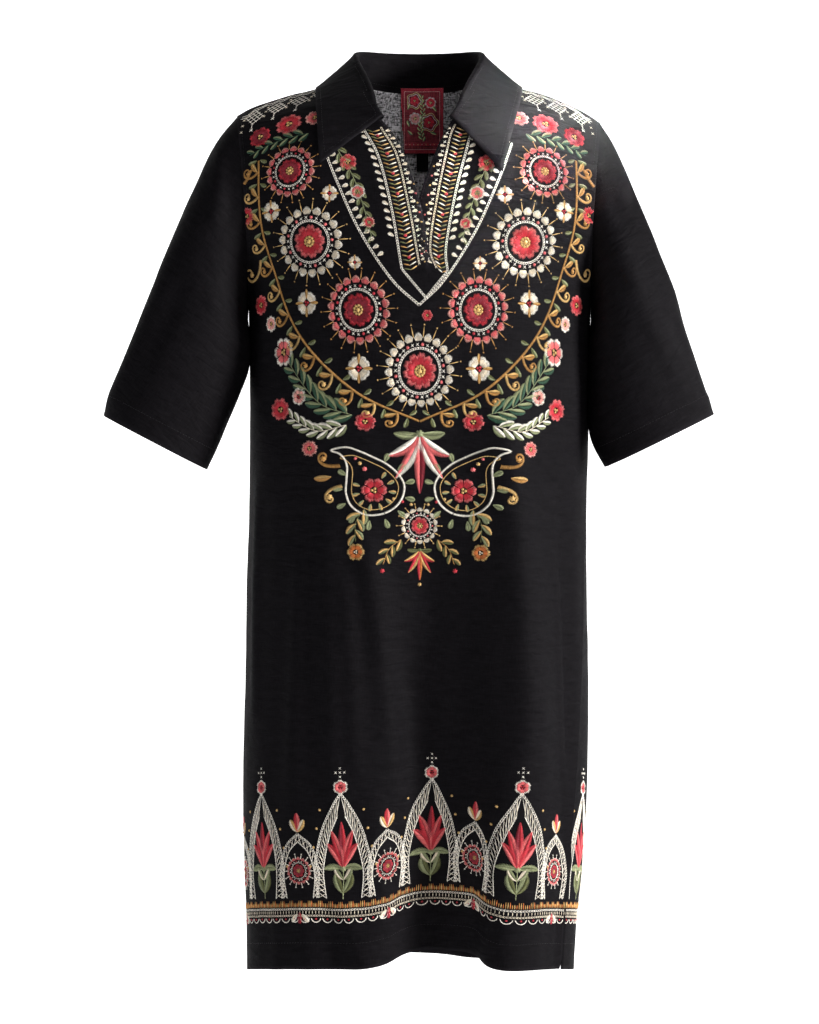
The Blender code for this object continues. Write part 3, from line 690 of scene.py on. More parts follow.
def makeSleeve(name):
    side = sleeveCloth[name]["side"]
    bm = outerSide(name)
    bm.verts.index_update()
    free = {vert for edge in bm.edges if edge.is_boundary for vert in edge.verts}
    ends = [min((vert for vert in free if low < vert.co.z < high), key=lambda vert: vert.co.z)
            for low, high in ((-0.25, 0), (-1, -0.3))]
    path = shortestPath(*ends)
    for here, there in zip(path, path[1:]):
        edgeBetween(here, there).seam = True
    cloth = clothObject(bm, sleeveCloth[name]["piece"])
    top = Vector((side * 0.196, 0, -0.04))
    slope = Vector((side * 0.37, 0, -0.93)).normalized()
    # The plan's up follows the sleeve's own slope, along its outer side
    layFlat(cloth, lambda place: (side * place.y, -(place - top).dot(slope))
            if side * place.x > 0.24 and abs(place.y) < 0.035 else None)
    smoothCloth(cloth)
    crease(cloth, sleeveCloth[name]["creases"])
    leanIn(cloth, side)
    return cloth


def finishCloth(cloth, name):
    # Only the back's inside shows, through the neck; its reverse keeps the pale colours that are painted
    # light
    if name != "back":
        cloth.data.materials[1] = linenOutside
    thicken(cloth)
    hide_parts(name)
    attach(cloth, "root")
    print(cloth.name, len(cloth.data.polygons), "faces")


frontCloth = makePanel("front", 1, frontCreases)
backCloth = makePanel("back", -1, backCreases)
print("panels shaped")
sleeveRightCloth, sleeveLeftCloth = makeSleeve("sleeve_right"), makeSleeve("sleeve_left")
print("sleeves shaped")


# A cloth's flat plan: where a point of the cut, in millimetres, lies on the hung cloth

def flatPlan(cloth):
    mesh = cloth.data
    mesh.calc_loop_triangles()
    layer = mesh.uv_layers["cloth"].data
    corners = [Vector((*spot.uv, 0)) / mm for spot in layer]
    triangles = [tuple(triangle.loops) for triangle in mesh.loop_triangles]
    verts = [loop.vertex_index for loop in mesh.loops]
    return {
        "tree": BVHTree.FromPolygons(corners, triangles), "triangles": triangles, "corners": corners,
        "places": [mesh.vertices[index].co.copy() for index in verts],
        "normals": [mesh.vertices[index].normal.copy() for index in verts],
    }


def onCloth(plan, spot):
    hit, _, index, _ = plan["tree"].ray_cast(Vector((spot.real, spot.imag, 5)), Vector((0, 0, -1)))
    if hit is None:
        return None
    a, b, c = plan["triangles"][index]
    flat = [plan["corners"][corner] for corner in (a, b, c)]
    whole = (flat[1] - flat[0]).cross(flat[2] - flat[0]).z
    shares = [(flat[1] - hit).cross(flat[2] - hit).z / whole, (flat[2] - hit).cross(flat[0] - hit).z / whole]
    shares.append(1 - sum(shares))
    place, normal = Vector(), Vector()
    for share, corner in zip(shares, (a, b, c)):
        place += plan["places"][corner] * share
        normal += plan["normals"][corner] * share
    return place, normal.normalized()


frontPlan = flatPlan(frontCloth)
backPlan = flatPlan(backCloth)


# Thread

threadColours = {
    "cream": (0.84, 0.74, 0.58), "white": (0.92, 0.87, 0.77), "red": (0.54, 0.024, 0.040),
    "crimson": (0.27, 0.012, 0.028), "rose": (0.74, 0.15, 0.15), "pink": (0.86, 0.41, 0.35),
    "ochre": (0.50, 0.255, 0.065), "gold": (0.67, 0.43, 0.155), "orange": (0.65, 0.19, 0.042),
    "sage": (0.29, 0.32, 0.165), "olive": (0.135, 0.145, 0.047), "green": (0.026, 0.088, 0.047),
}
threadLook = {"sink": 0.25, "variety": 0.22, "roughness": 0.5, "specular": 0.35, "sheen": 0.08}


def threadMaterial(name, look):
    material, tree = newMaterial(name)
    dye = node(tree, "ShaderNodeAttribute", {}, attribute_name="dye")
    place = node(tree, "ShaderNodeTexCoord", {}, "Object")
    fuzz = node(tree, "ShaderNodeTexNoise", {"Vector": place, "Scale": 1400.0, "Detail": 2.0})
    shade = node(tree, "ShaderNodeMapRange", {"Value": fuzz, "To Min": 0.72, "To Max": 1.22})
    dyed = node(tree, "ShaderNodeVectorMath", {0: dye, "Scale": shade}, operation="SCALE")
    bump = node(tree, "ShaderNodeBump", {"Height": fuzz, "Strength": 0.5, "Distance": 0.00012})
    feed(tree, tree.nodes["Principled BSDF"], {
        "Base Color": dyed, "Normal": bump, "Roughness": look["roughness"],
        "Specular IOR Level": look["specular"], "Sheen Weight": look["sheen"]})
    return material


thread = threadMaterial("embroideryThread", threadLook)


def makeThreads(name, placed, seed):
    # Each thread is raised on three sections, each a place and its normal, and let in at both ends
    dice = random.Random(seed)
    verts, faces, dyes = [], [], []
    for found, dye, width, height in placed:
        run = found[2][0] - found[0][0]
        first = len(verts)
        for (place, normal), rise, spread in zip(found, (0.2, 1.0, 0.2), (0.75, 1.0, 0.75)):
            side = normal.cross(run).normalized() * width * spread * mm / 2
            foot = place - normal * threadLook["sink"] * mm
            verts += [foot + side, place + normal * height * rise * mm, foot - side]
        for left in (first, first + 3):
            top, right = left + 1, left + 2
            faces += [(left, top, top + 3, left + 3), (right, right + 3, top + 3, top),
                      (left, left + 3, right + 3, right)]
        faces += [(first, first + 2, first + 1), (first + 6, first + 7, first + 8)]
        tint = 1 + dice.uniform(-1, 1) * threadLook["variety"]
        dyes += [(*(channel * tint for channel in dye), 1.0)] * 9
    mesh = bpy.data.meshes.new(name)
    mesh.from_pydata(verts, [], faces)
    mesh.attributes.new("dye", "FLOAT_COLOR", "POINT")
    mesh.attributes["dye"].data.foreach_set("color", np.array(dyes, float).ravel())
    mesh.materials.append(thread)
    piece = bpy.data.objects.new(name, mesh)
    bpy.context.scene.collection.objects.link(piece)
    activate(piece)
    bpy.ops.object.shade_smooth()
    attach(piece, "root")
    print(name, len(placed), "stitches,", len(placed) * 14, "triangles")
    return piece


def embroider(name, carry, work, seed, scale=1.0, paintedLightGain=1.0, bold=1.0):
    placed = []
    for start, end, colour, width, height in work:
        found = [carry(spot * scale) for spot in (start, (start + end) / 2, end)]
        if None not in found and (found[2][0] - found[0][0]).length > 0.2 * mm:
            # Thread colours are multiplied by paintedLightGain, painted light where the threads lie in shade
            dye = [min(0.95, channel * paintedLightGain) for channel in threadColours[colour]]
            placed.append((found, dye, width * scale * bold, height * scale))
    return makeThreads(name, placed, seed)


# Sewing: a line of stitches at a set distance from an edge, wherever the cloth's surface has it

sewing = {"stitch": 2.7, "gap": 0.9, "width": 0.55, "height": 0.28, "dye": (0.009, 0.008, 0.010)}


def linesAt(mesh, distances, level):
    # The contour of a distance over a mesh, as runs of places with their normals
    mesh.calc_loop_triangles()
    spots, steps = {}, {}
    for triangle in mesh.loop_triangles:
        ends = []
        corners = list(triangle.vertices)
        for a, b in zip(corners, corners[1:] + corners[:1]):
            if (distances[a] < level) != (distances[b] < level):
                key = (min(a, b), max(a, b))
                share = (level - distances[key[0]]) / (distances[key[1]] - distances[key[0]])
                near, far = mesh.vertices[key[0]], mesh.vertices[key[1]]
                spots[key] = (near.co.lerp(far.co, share), near.normal.lerp(far.normal, share).normalized())
                ends.append(key)
        if len(ends) == 2:
            steps.setdefault(ends[0], []).append(ends[1])
            steps.setdefault(ends[1], []).append(ends[0])
    runs = []
    for start in sorted(steps, key=lambda key: (len(steps[key]) != 1, key)):
        run = []
        while start is not None and start in steps:
            run.append(spots[start])
            onward = steps.pop(start)
            start = next((key for key in onward if key in steps), None)
        if len(run) > 3:
            runs.append(run)
    return runs


def sewAlong(placed, run):
    lengths = [0.0]
    for (here, _), (there, _) in zip(run, run[1:]):
        lengths.append(lengths[-1] + (there - here).length / mm)
    places = np.array([place for place, _ in run])
    normals = np.array([normal for _, normal in run])

    def at(length):
        place, normal = (Vector([np.interp(length, lengths, column) for column in rows.T])
                         for rows in (places, normals))
        return place, normal.normalized()

    length = 0.5
    while length + sewing["stitch"] < lengths[-1]:
        ends = [at(length + sewing["stitch"] * share) for share in (0, 0.5, 1)]
        placed.append((ends, sewing["dye"], sewing["width"], sewing["height"]))
        length += sewing["stitch"] + sewing["gap"]


def edgeDistances(mesh, edges):
    # How far each vertex lies from the nearest of these edges, in millimetres
    tree = treeOf([a.lerp(b, share) for a, b in edges for share in (0, 0.25, 0.5, 0.75)])
    return [tree.find(vert.co)[2] / mm for vert in mesh.vertices]


def markWear(mesh, distances, reach=1.2):
    # Cloth fades where it rubs, along its edges
    if "wear" not in mesh.attributes:
        mesh.attributes.new("wear", "FLOAT", "POINT")
    old = np.array([value.value for value in mesh.attributes["wear"].data])
    values = np.maximum(old, np.exp(-np.array(distances) / reach) * 0.7)
    mesh.attributes["wear"].data.foreach_set("value", values)


def sewEdge(placed, cloth, test, gap):
    bm = bmesh.new()
    bm.from_mesh(cloth.data)
    edges = [tuple(vert.co.copy() for vert in edge.verts) for edge in freeEdges(bm, test)]
    bm.free()
    distances = edgeDistances(cloth.data, edges)
    markWear(cloth.data, distances)
    for run in linesAt(cloth.data, distances, gap):
        sewAlong(placed, run)


# The free edges are sewn and then turned under. A seam's steps are how far past and how far in
seamFold = {"steps": ((0.7, 0.8), (0.5, 3.5), (0.0, 7.0)), "stitched": 4}
hemFold = {"depth": 1.5, "allowance": 30, "stitched": 27}
cuffFold = {"depth": 1.4, "allowance": 25, "stitched": 22}
slitFold = {"depth": 1.2, "allowance": 10, "stitched": 2}


# Where each free edge lies, in millimetres

def slitEdge(place):
    return place.y < -60 and abs(place.x) < 44 and -212 < place.z < -44


def hemEdge(place):
    return place.z < -930


def cuffEdge(place):
    return abs(place.x) > 200 and place.z < -290


def armholeEdge(place):
    return abs(place.x) > 140 and -290 < place.z < -26


def panelSeam(place):
    return abs(place.x) > 95 and place.z > -905


def sleeveSeam(place):
    return abs(place.x) < 245 and place.z > -285


def hemRim(spots):
    # The lowest point of a cut for each stretch of its width
    rim = {}
    for across, up in spots:
        cell = round(across / 8)
        rim[cell] = min(rim.get(cell, 0), up)
    cells = sorted(cell for cell in rim if rim[cell] < -900)
    return [cell * 8 for cell in cells], [rim[cell] for cell in cells]


seams = []
for cloth in (frontCloth, backCloth):
    sewEdge(seams, cloth, armholeEdge, seamFold["stitched"])
    spots = uvOf(cloth)
    heights = spots[:, 1] - np.interp(spots[:, 0], *hemRim(spots))
    markWear(cloth.data, heights)
    for run in linesAt(cloth.data, heights, hemFold["stitched"]):
        sewAlong(seams, run)
sewEdge(seams, frontCloth, slitEdge, slitFold["stitched"])
for cloth in (sleeveRightCloth, sleeveLeftCloth):
    sewEdge(seams, cloth, cuffEdge, cuffFold["stitched"])
hemSewing = makeThreads("hemSewing", seams, 5)

turnUnder(frontCloth, hemEdge, hemFold, level=True)
turnUnder(backCloth, hemEdge, hemFold, level=True)
turnUnder(frontCloth, slitEdge, slitFold)
for cloth, name in ((frontCloth, "front"), (backCloth, "back")):
    foldSeam(cloth, panelSeam)
    finishCloth(cloth, name)
for cloth, name in ((sleeveRightCloth, "sleeve_right"), (sleeveLeftCloth, "sleeve_left")):
    foldSeam(cloth, sleeveSeam)
    turnUnder(cloth, cuffEdge, cuffFold)
    finishCloth(cloth, name)
print("edges sewn and turned under")


# Stitch kinds: places are complex numbers in the flat plan, x across and i up, in millimetres

def toward(degrees):
    return cmath.rect(1, math.radians(degrees))


def evenly(line, spacing):
    runs = [0.0]
    for here, there in zip(line, line[1:]):
        runs.append(runs[-1] + abs(there - here))
    stops = np.linspace(0, runs[-1], max(2, round(runs[-1] / spacing) + 1))
    across = np.interp(stops, runs, [spot.real for spot in line])
    up = np.interp(stops, runs, [spot.imag for spot in line])
    return [complex(x, z) for x, z in zip(across, up)]


def paces(line, spacing):
    # Each even step along a line: where from, where to and which way
    spots = evenly(line, spacing)
    return [(here, there, (there - here) / abs(there - here)) for here, there in zip(spots, spots[1:])]


def lineLength(line):
    return sum(abs(there - here) for here, there in zip(line, line[1:]))


def curveThrough(spots, closed=False):
    ends = [spots[-1], *spots, spots[0], spots[1]]
    if not closed:
        ends = [2 * spots[0] - spots[1], *spots, 2 * spots[-1] - spots[-2]]
    line = []
    for a, b, c, d in zip(ends, ends[1:], ends[2:], ends[3:]):
        for t in np.linspace(0, 1, 12, endpoint=False):
            line.append((2 * b + (c - a) * t + (2 * a - 5 * b + 4 * c - d) * t * t
                         + (3 * b - a - 3 * c + d) * t**3) / 2)
    line.append(ends[-2])
    return line


def ringLine(middle, radius, start=0.0, end=360.0):
    turns = np.radians(np.linspace(start, end, 40))
    return [middle + cmath.rect(radius, turn) for turn in turns]


def tendril(start, heading, length, curlStart, curlEnd):
    # A line whose turning grows along it, so that it winds up at its end; the curls are degrees a step
    line, steps = [start], 36
    for step in range(steps):
        share = step / steps
        heading *= cmath.exp(1j * math.radians(curlStart + (curlEnd - curlStart) * share**2))
        line.append(line[-1] + heading * length / steps)
    return line


def rope(work, line, colour, width, pitch=1.0, height=0.8, taper=0.0):
    # Short slanted stitches side by side across the line
    spots = evenly(line, pitch)
    for index, (before, here, after) in enumerate(zip(spots, spots[1:], spots[2:])):
        ahead = (after - before) / abs(after - before)
        half = ahead * 1j * width / 2 * (1 - taper * index / len(spots))
        lean = ahead * pitch * 0.45
        work.append((here - half - lean, here + half + lean, colour, pitch * 1.3, height))


def stem(work, line, colour, width=1.2, stitch=3.4, height=0.55):
    # Stitches along the line, each a little past the one before
    spots = evenly(line, stitch)
    for here, there in zip(spots, spots[1:]):
        slip = 1j * (there - here) * 0.06
        work.append((here - slip - (there - here) * 0.12, there + slip + (there - here) * 0.12,
                     colour, width, height))


def chain(work, line, colour, width=2.2, link=2.8, height=0.65):
    # Links that open forward, as two stitches each
    for here, there, ahead in paces(line, link):
        for hand in (1, -1):
            side = 1j * ahead * width / 2 * hand
            work.append((here + side * 0.2, there + side * 0.8, colour, width * 0.45, height))


def dot(work, place, size, colour):
    for angle in (15, 75, 135):
        reach = toward(angle) * size / 2
        work.append((place - reach, place + reach, colour, size * 0.5, size * 0.4))


def cross(work, place, size, colour):
    for angle in (45, 135):
        reach = toward(angle) * size * 0.7
        work.append((place - reach, place + reach, colour, max(0.85, size * 0.36), 0.55))


satin = {"crowding": 1.75, "apart": 0.85, "slanted": 0.95, "width": 1.15, "height": 0.65}


def petal(work, base, heading, length, half, colour, tip=None, neck=0.3, curve=0.4, notch=0.0, height=0.8):
    # A fan of satin stitches with a rounded or notched end, and shorter ones over it in the tip's colour
    count = max(3, round(satin["crowding"] * half / satin["apart"]))
    for index in range(count):
        t = 2 * index / (count - 1) - 1
        start = base + 1j * heading * t * half * neck
        reach = length * (1 - curve * t * t - notch * (1 - min(1.0, abs(t) * 2.2)))
        end = base + heading * reach + 1j * heading * t * half
        lift = height * (1 - 0.3 * abs(t))
        work.append((start, end, colour, satin["width"], lift))
        if tip:
            inner = 0.66 - 0.12 * (index % 2)
            work.append((start + (end - start) * inner, end, tip, satin["width"], lift + 0.25))


def leaf(work, base, heading, length, half, light, dark, bend=0.0):
    # Stitches slant from the vein to both edges, one side in each colour
    count = max(4, round(length / satin["slanted"]))
    for index in range(count):
        s = (index + 0.3) / count
        turned = heading * cmath.exp(1j * bend * s)
        vein = base + length * s * heading * cmath.exp(1j * bend * s / 2)
        wide = half * math.sin(math.pi * s**0.75) ** 0.8 + 0.25
        for hand, colour in ((1, light), (-1, dark)):
            edge = vein + turned * (wide * 0.9 + 0.3) + 1j * hand * turned * wide
            work.append((vein, edge, colour, satin["width"], satin["height"]))


# Motifs. Numbers beside a radius or a size are shares of it, from the heart out

def rosette(work, middle, radius, petals, shades, turn=0.0):
    heart, inner, innerTip, ring, outer, outerTip, rays = shades
    step = math.tau / petals
    dot(work, middle, radius * 0.14, heart)
    for index in range(petals):
        ahead = cmath.rect(1, turn + index * step)
        half = radius * 0.38 * math.sin(step / 2)
        petal(work, middle + ahead * radius * 0.14, ahead, radius * 0.32, half, inner, innerTip, notch=0.16)
        dot(work, middle + ahead * radius * 0.11, radius * 0.085, heart)
    chain(work, ringLine(middle, radius * 0.53), ring, radius * 0.075, 2.6)
    for index in range(3 * petals):
        ahead = cmath.rect(1, turn + index * step / 3)
        if index % 3:
            cross(work, middle + ahead * radius * 0.62, radius * 0.075, ring)
        else:
            dot(work, middle + ahead * radius * 0.62, radius * 0.085, innerTip)
    for index in range(2 * petals):
        ahead = cmath.rect(1, turn + (index + 0.5) * step / 2)
        half = radius * 0.78 * math.sin(step / 4) * 0.86
        petal(work, middle + ahead * radius * 0.70, ahead, radius * 0.2, half, outer, outerTip, 0.6, 0.5)
        between = cmath.rect(1, turn + index * step / 2)
        work.append((middle + between * radius * 0.78, middle + between * radius * 1.04, rays, 1.3, 0.7))
        dot(work, middle + between * radius * 1.09, 1.8, rays)


def blossom(work, middle, size, colour, tip, heart, petals=8, turn=0.0):
    half = size * 0.34 * math.sin(math.pi / petals)
    for index in range(petals):
        ahead = cmath.rect(1, turn + math.tau * index / petals)
        petal(work, middle + ahead * size * 0.13, ahead, size * 0.37, half, colour, tip, neck=0.35, curve=0.3,
              notch=0.16)
    for index in range(3):
        dot(work, middle + cmath.rect(size * 0.07, turn + math.tau * index / 3), size * 0.11, heart)


def tulip(work, base, heading, size, outer, tip, middle, cup, spread=1.0):
    # Five petals that bend away from each other, each half in its own colour, over a pair of small leaves
    for turn, share, shades in ((1.0, 0.62, (tip, outer)), (0.5, 0.84, (outer, tip)),
                                (0.0, 1.0, (middle, outer))):
        for hand in ((1, -1) if turn else (1,)):
            start = heading * cmath.exp(0.45j * hand * turn * spread)
            leaf(work, base, start, size * share, size * 0.085, *shades[::hand], hand * turn * 0.95 * spread)
    for hand in (1, -1):
        leaf(work, base, heading * cmath.exp(1.25j * hand), size * 0.4, size * 0.07, cup, cup, hand * 0.7)
    dot(work, base, size * 0.13, cup)


def sprig(work, spots, colour, light, dark, leafLength, gap):
    line = curveThrough(spots)
    stem(work, line, colour, 1.15)
    steps = paces(line, gap)
    for index, (here, _, ahead) in enumerate(steps):
        size = leafLength * (1 - 0.35 * index / (len(steps) + 1))
        for hand in (1, -1):
            lean = ahead * cmath.exp(0.85j * hand)
            leaf(work, here + ahead * gap * (0.2 + 0.25 * hand), lean, size, size * 0.2, light, dark,
                 -hand * 0.5)


def scroll(work, start, heading, length, curlStart, curlEnd, colour, width):
    line = tendril(start, heading, length, curlStart, curlEnd)
    rope(work, line, colour, width, 0.95, 0.8, 0.55)
    dot(work, line[-1], width * 1.5, colour)


paisleyOutline = [-0.02j, 0.22 + 0.04j, 0.35 + 0.2j, 0.36 + 0.38j, 0.29 + 0.55j, 0.23 + 0.69j, 0.22 + 0.80j,
                  0.26 + 0.90j, 0.34 + 0.98j, 0.15 + 0.95j, 0.02 + 0.85j, -0.11 + 0.72j, -0.25 + 0.56j,
                  -0.34 + 0.37j, -0.34 + 0.2j, -0.21 + 0.04j]


def paisley(work, base, heading, size, hand, shades):
    edge, second, fill, tip, leafShade = shades
    across = heading * -1j * hand

    def place(spot, scale):
        spot = (spot - 0.32j) * scale + 0.32j
        return base + size * (spot.real * across + spot.imag * heading)

    outline = [place(spot, 1.0) for spot in paisleyOutline]
    rope(work, curveThrough(outline, closed=True), edge, 2.3, 1.0)
    stem(work, curveThrough([place(spot, 0.8) for spot in paisleyOutline], closed=True), second, 1.3, 2.6)
    middle = place(0.02 + 0.3j, 1.0)
    blossom(work, middle, size * 0.34, fill, tip, second, 6)
    for index, spot in enumerate((0.03 + 0.60j, 0.06 + 0.69j, 0.09 + 0.77j)):
        dot(work, place(spot, 1.0), size * (0.06 - 0.01 * index), (tip, second)[index % 2])
    for count, first, step, out, long, wide, shade in ((9, 52, 32, 0.18, 0.09, 0.022, second),
                                                       (11, 40, 28, 0.39, 0.12, 0.033, leafShade)):
        for index in range(count):
            ahead = heading * toward(hand * (first + index * step))
            leaf(work, middle + ahead * size * out, ahead, size * long, size * wide, leafShade, shade)


def mirrored(work):
    return [(-start.conjugate(), -end.conjugate(), *rest) for start, end, *rest in work]


def drawn(motifs):
    # Each row is a motif and what it takes after the list of stitches
    work = []
    for kind, *details in motifs:
        kind(work, *details)
    return work


# The yoke's design: a necklace of round flowers over a paired paisley drop

slitLines = {
    -1: {"inner": [-44 - 56j, -25 - 88j, -9 - 150j, 2 - 208j],
         "outer": [-62 - 58j, -42 - 92j, -26 - 152j, -16 - 212j]},
    1: {"inner": [46 - 52j, 38 - 70j, 23 - 128j, 13 - 187j, 19 - 211j],
        "outer": [64 - 58j, 55 - 78j, 40 - 130j, 29 - 188j, 30 - 214j]},
}
slitFoot = 7 - 240j
necklace = {
    "flowers": [(134 - 108j, 31, 8), (113 - 184j, 41, 9), (62 - 252j, 37, 9)],
    "middle": (0 - 309j, 40, 10),
    "innerCord": [101 - 78j, 84 - 118j, 57 - 176j, 27 - 222j, 0 - 247j],
    "outerCord": [172 - 90j, 169 - 180j, 136 - 264j, 73 - 324j, 0 - 362j],
    "stars": [(90 - 134j, 15), (157 - 148j, 19), (119 - 245j, 21), (62 - 307j, 22), (64 - 206j, 12)],
}
rosetteShades = [
    ("gold", "crimson", "red", "white", "rose", "pink", "ochre"),
    ("gold", "red", "rose", "white", "cream", "white", "gold"),
]


def slitDesign(side):
    # A band of chevrons between two cords, with leaves outside it and crosses, leaves and dots inside
    inner = curveThrough(slitLines[side]["inner"])
    outer = curveThrough(slitLines[side]["outer"])
    work = []
    chain(work, inner, "cream", 2.2)
    chain(work, outer + [slitFoot], "white", 2.8)
    rungs = evenly(inner, 4.6)
    across = evenly(outer, abs(outer[-1] - outer[0]) / (len(rungs) - 1))
    for index, (near, far) in enumerate(zip(rungs[1:], across[1:])):
        middle = (near + far) / 2
        for start, shade in zip((near, far), (("gold", "olive"), ("white", "ochre"))[index % 2]):
            work.append((start + (middle - start) * 0.3, middle - 2.6j, shade, 1.9, 0.7))
        if index % 5 == 2:
            dot(work, middle + 1.4j, 3.6, "red")
    for spot in evenly(outer, 8.5)[1:]:
        if spot.imag > -184:
            leaf(work, spot + side * 2.4, toward(90 - side * 62), 6.5, 1.8, "white", "cream")
    for index, spot in enumerate(evenly(inner, 5.4)[1:-1]):
        if index % 2:
            cross(work, spot - side * 4.2, 2.8, "white")
        else:
            leaf(work, spot - side * 2.2, toward(90 + side * 66), 5.0, 1.5, "cream", "cream")
            if spot.imag < -96:
                dot(work, spot - side * 9.4, 2.2, ("gold", "rose")[index // 2 % 2])
    return work


def necklaceDesign():
    work = []
    inner = curveThrough(necklace["innerCord"])
    chain(work, inner, "white", 3.0, 3.0, 0.8)
    for here, _, ahead in paces(inner, 9.0):
        if here.imag > -206:
            leaf(work, here - 2.4j * ahead, -1j * ahead, 6.4, 1.9, "cream", "white")
    outer = curveThrough(necklace["outerCord"])
    rope(work, outer, "ochre", 2.6, 1.25)
    for index, (here, _, ahead) in enumerate(paces(outer, 13.0)):
        out = here + 2j * ahead
        if index % 2:
            scroll(work, here, ahead * cmath.exp(0.9j), 36, 2.0, 27, ("ochre", "gold")[index // 2 % 2], 3.4)
            leaf(work, out, ahead * cmath.exp(2.3j), 13, 2.6, "gold", "ochre", 0.5)
        else:
            leaf(work, out, ahead * cmath.exp(1.2j), 11, 2.3, "sage", "olive", 0.4)
            leaf(work, here - 2j * ahead, ahead * cmath.exp(-0.9j), 9, 2.0, "sage", "olive", -0.4)
    for index, (middle, radius, petals) in enumerate(necklace["flowers"]):
        rosette(work, middle, radius, petals, rosetteShades[index % 2], 0.3)
    for place, size in necklace["stars"]:
        blossom(work, place, size * 1.15, "cream", "white", "red", 4, math.pi / 4)
        for angle in (0, 90, 180, 270):
            out = toward(angle)
            leaf(work, place + out * size * 0.2, out, size * 0.42, size * 0.06, "gold", "ochre")
    return work


# Motifs in the flat plan, in millimetres, in the order in which they are sewn
garlandMotifs = [
    (blossom, 72 - 100j, 19, "red", "rose", "gold", 6, 0.4),
    (blossom, 61 - 132j, 17, "rose", "white", "gold", 6, 0.4),
    (blossom, 49 - 164j, 13, "red", "pink", "gold", 6, 0.4),
    (sprig, [84 - 86j, 66 - 116j, 54 - 150j, 45 - 184j], "sage", "sage", "olive", 11, 11),
]
shoulderMotifs = [
    (blossom, 142 - 50j, 31, "red", "rose", "gold", 8, 0.9),
    (blossom, 173 - 62j, 27, "crimson", "red", "gold", 8, 0.9),
    (blossom, 114 - 44j, 24, "rose", "pink", "gold", 8, 0.9),
    (sprig, [118 - 66j, 150 - 72j, 184 - 82j], "green", "sage", "green", 13, 12),
    (scroll, 182 - 98j, cmath.rect(1, -1.2), 66, 2.5, 27, "ochre", 4.6),
    (scroll, 179 - 196j, cmath.rect(1, -1.4), 58, 2.5, 27, "gold", 4.2),
    (blossom, 190 - 146j, 20, "red", "rose", "gold"), (blossom, 184 - 242j, 22, "red", "rose", "gold"),
    (blossom, 168 - 262j, 17, "pink", "white", "gold"),
]
dropMotifs = [
    (sprig, [70 - 354j, 104 - 340j, 142 - 300j], "sage", "sage", "green", 21, 12),
    (sprig, [76 - 366j, 108 - 372j, 142 - 354j], "cream", "white", "sage", 17, 11),
    (blossom, 150 - 290j, 30, "rose", "white", "gold", 6),
    (blossom, 154 - 346j, 27, "red", "rose", "gold", 8, 0.3),
    (blossom, 128 - 333j, 19, "pink", "white", "red", 6, 0.3),
    (blossom, 56 - 362j, 24, "red", "rose", "gold", 8, 0.6),
    (paisley, 37 - 462j, toward(70), 84, 1, ("white", "gold", "red", "rose", "sage")),
    (scroll, 82 - 412j, cmath.rect(1, -0.1), 46, 0.6, 30, "ochre", 4.4),
    (scroll, 80 - 434j, cmath.rect(1, -0.2), 42, -0.6, -30, "gold", 4.2),
    (leaf, 92 - 424j, cmath.rect(1, -0.25), 19, 3.4, "gold", "ochre", 0.3),
    (blossom, 116 - 392j, 20, "rose", "pink", "gold", 8, 0.6),
    (sprig, [58 - 460j, 66 - 474j, 66 - 494j], "olive", "gold", "sage", 16, 11),
    (blossom, 66 - 505j, 20, "orange", "gold", "cream", 6),
    (sprig, [20 - 492j, 32 - 502j, 38 - 518j], "ochre", "gold", "olive", 13, 10),
    (dot, 39 - 525j, 5, "red"),
]
middleMotifs = [
    (rosette, *necklace["middle"], rosetteShades[1], 0.2), (blossom, 8 - 257j, 12, "red", "rose", "gold", 6),
    (tulip, -376j, -1j, 66, "rose", "white", "crimson", "sage"),
    (dot, 9 - 454j, 3.4, "gold"), (dot, -9 - 454j, 3.4, "gold"), (dot, 18 - 451j, 3.4, "red"),
    (dot, -18 - 451j, 3.4, "red"), (dot, 27 - 448j, 3.4, "gold"), (dot, -27 - 448j, 3.4, "gold"),
    (rosette, -477j, 22, 7, rosetteShades[1]), (tulip, -503j, -1j, 32, "red", "gold", "orange", "olive"),
    (dot, -540j, 4.0, "gold"),
]
shoulderSeam = [(108, 31), (124, 25), (154, 12), (184, -2), (203, -24)]


def shoulderBand():
    # Trellis lozenges hung with crosses, under two zigzags along the shoulder seam
    work = []

    def below(across, down):
        return complex(across, np.interp(across, *zip(*shoulderSeam)) - down)

    for down in (3.5, 8.0):
        line = [below(106 + index * 6, down + 4.5 * (index % 2)) for index in range(17)]
        for here, there in zip(line, line[1:]):
            stem(work, [here, there], "white", 1.1, 3.4)
    for index in range(4):
        middle = below(117 + index * 23, 26)
        for step in (-1.5, -0.5, 0.5, 1.5):
            for ahead in (1 + 1.1j, 1 - 1.1j):
                centre = middle + ahead.conjugate() * step * 3.3
                stem(work, [centre - ahead * 6, centre + ahead * 6], "white", 1.1, 4.2)
        stem(work, [middle - 13j, middle - 18j], "white", 1.1, 2.5)
        cross(work, middle - 20j, 3.6, "white")
        for drop in (16, 25, 34):
            cross(work, below(128.5 + index * 23, drop), 3.0, "cream")
    return work


half = necklaceDesign() + drawn(garlandMotifs + shoulderMotifs + dropMotifs) + shoulderBand()


def onFront(spot):
    return onCloth(frontPlan, spot)


def onBack(spot):
    return onCloth(backPlan, spot)


onFrontCloth = [
    embroider("yokeLeftEmbroidery", onFront, slitDesign(1) + half, 11),
    embroider("yokeRightEmbroidery", onFront, slitDesign(-1) + mirrored(half), 12),
    embroider("yokeMiddleEmbroidery", onFront, drawn(middleMotifs), 13),
]
onBackCloth = [embroider("backShoulderEmbroidery", onBack, shoulderBand() + mirrored(shoulderBand()), 14)]
print("yoke embroidered")


# The hem's border: a ladder and comb, with tall tulips in ogee arches between low domes of round flowers

# The band's height over the hem and the arches' height over the band; the phase is a share of a unit
hemBorder = {"height": 63, "arches": 12, "units": 5, "phase": 0.25}
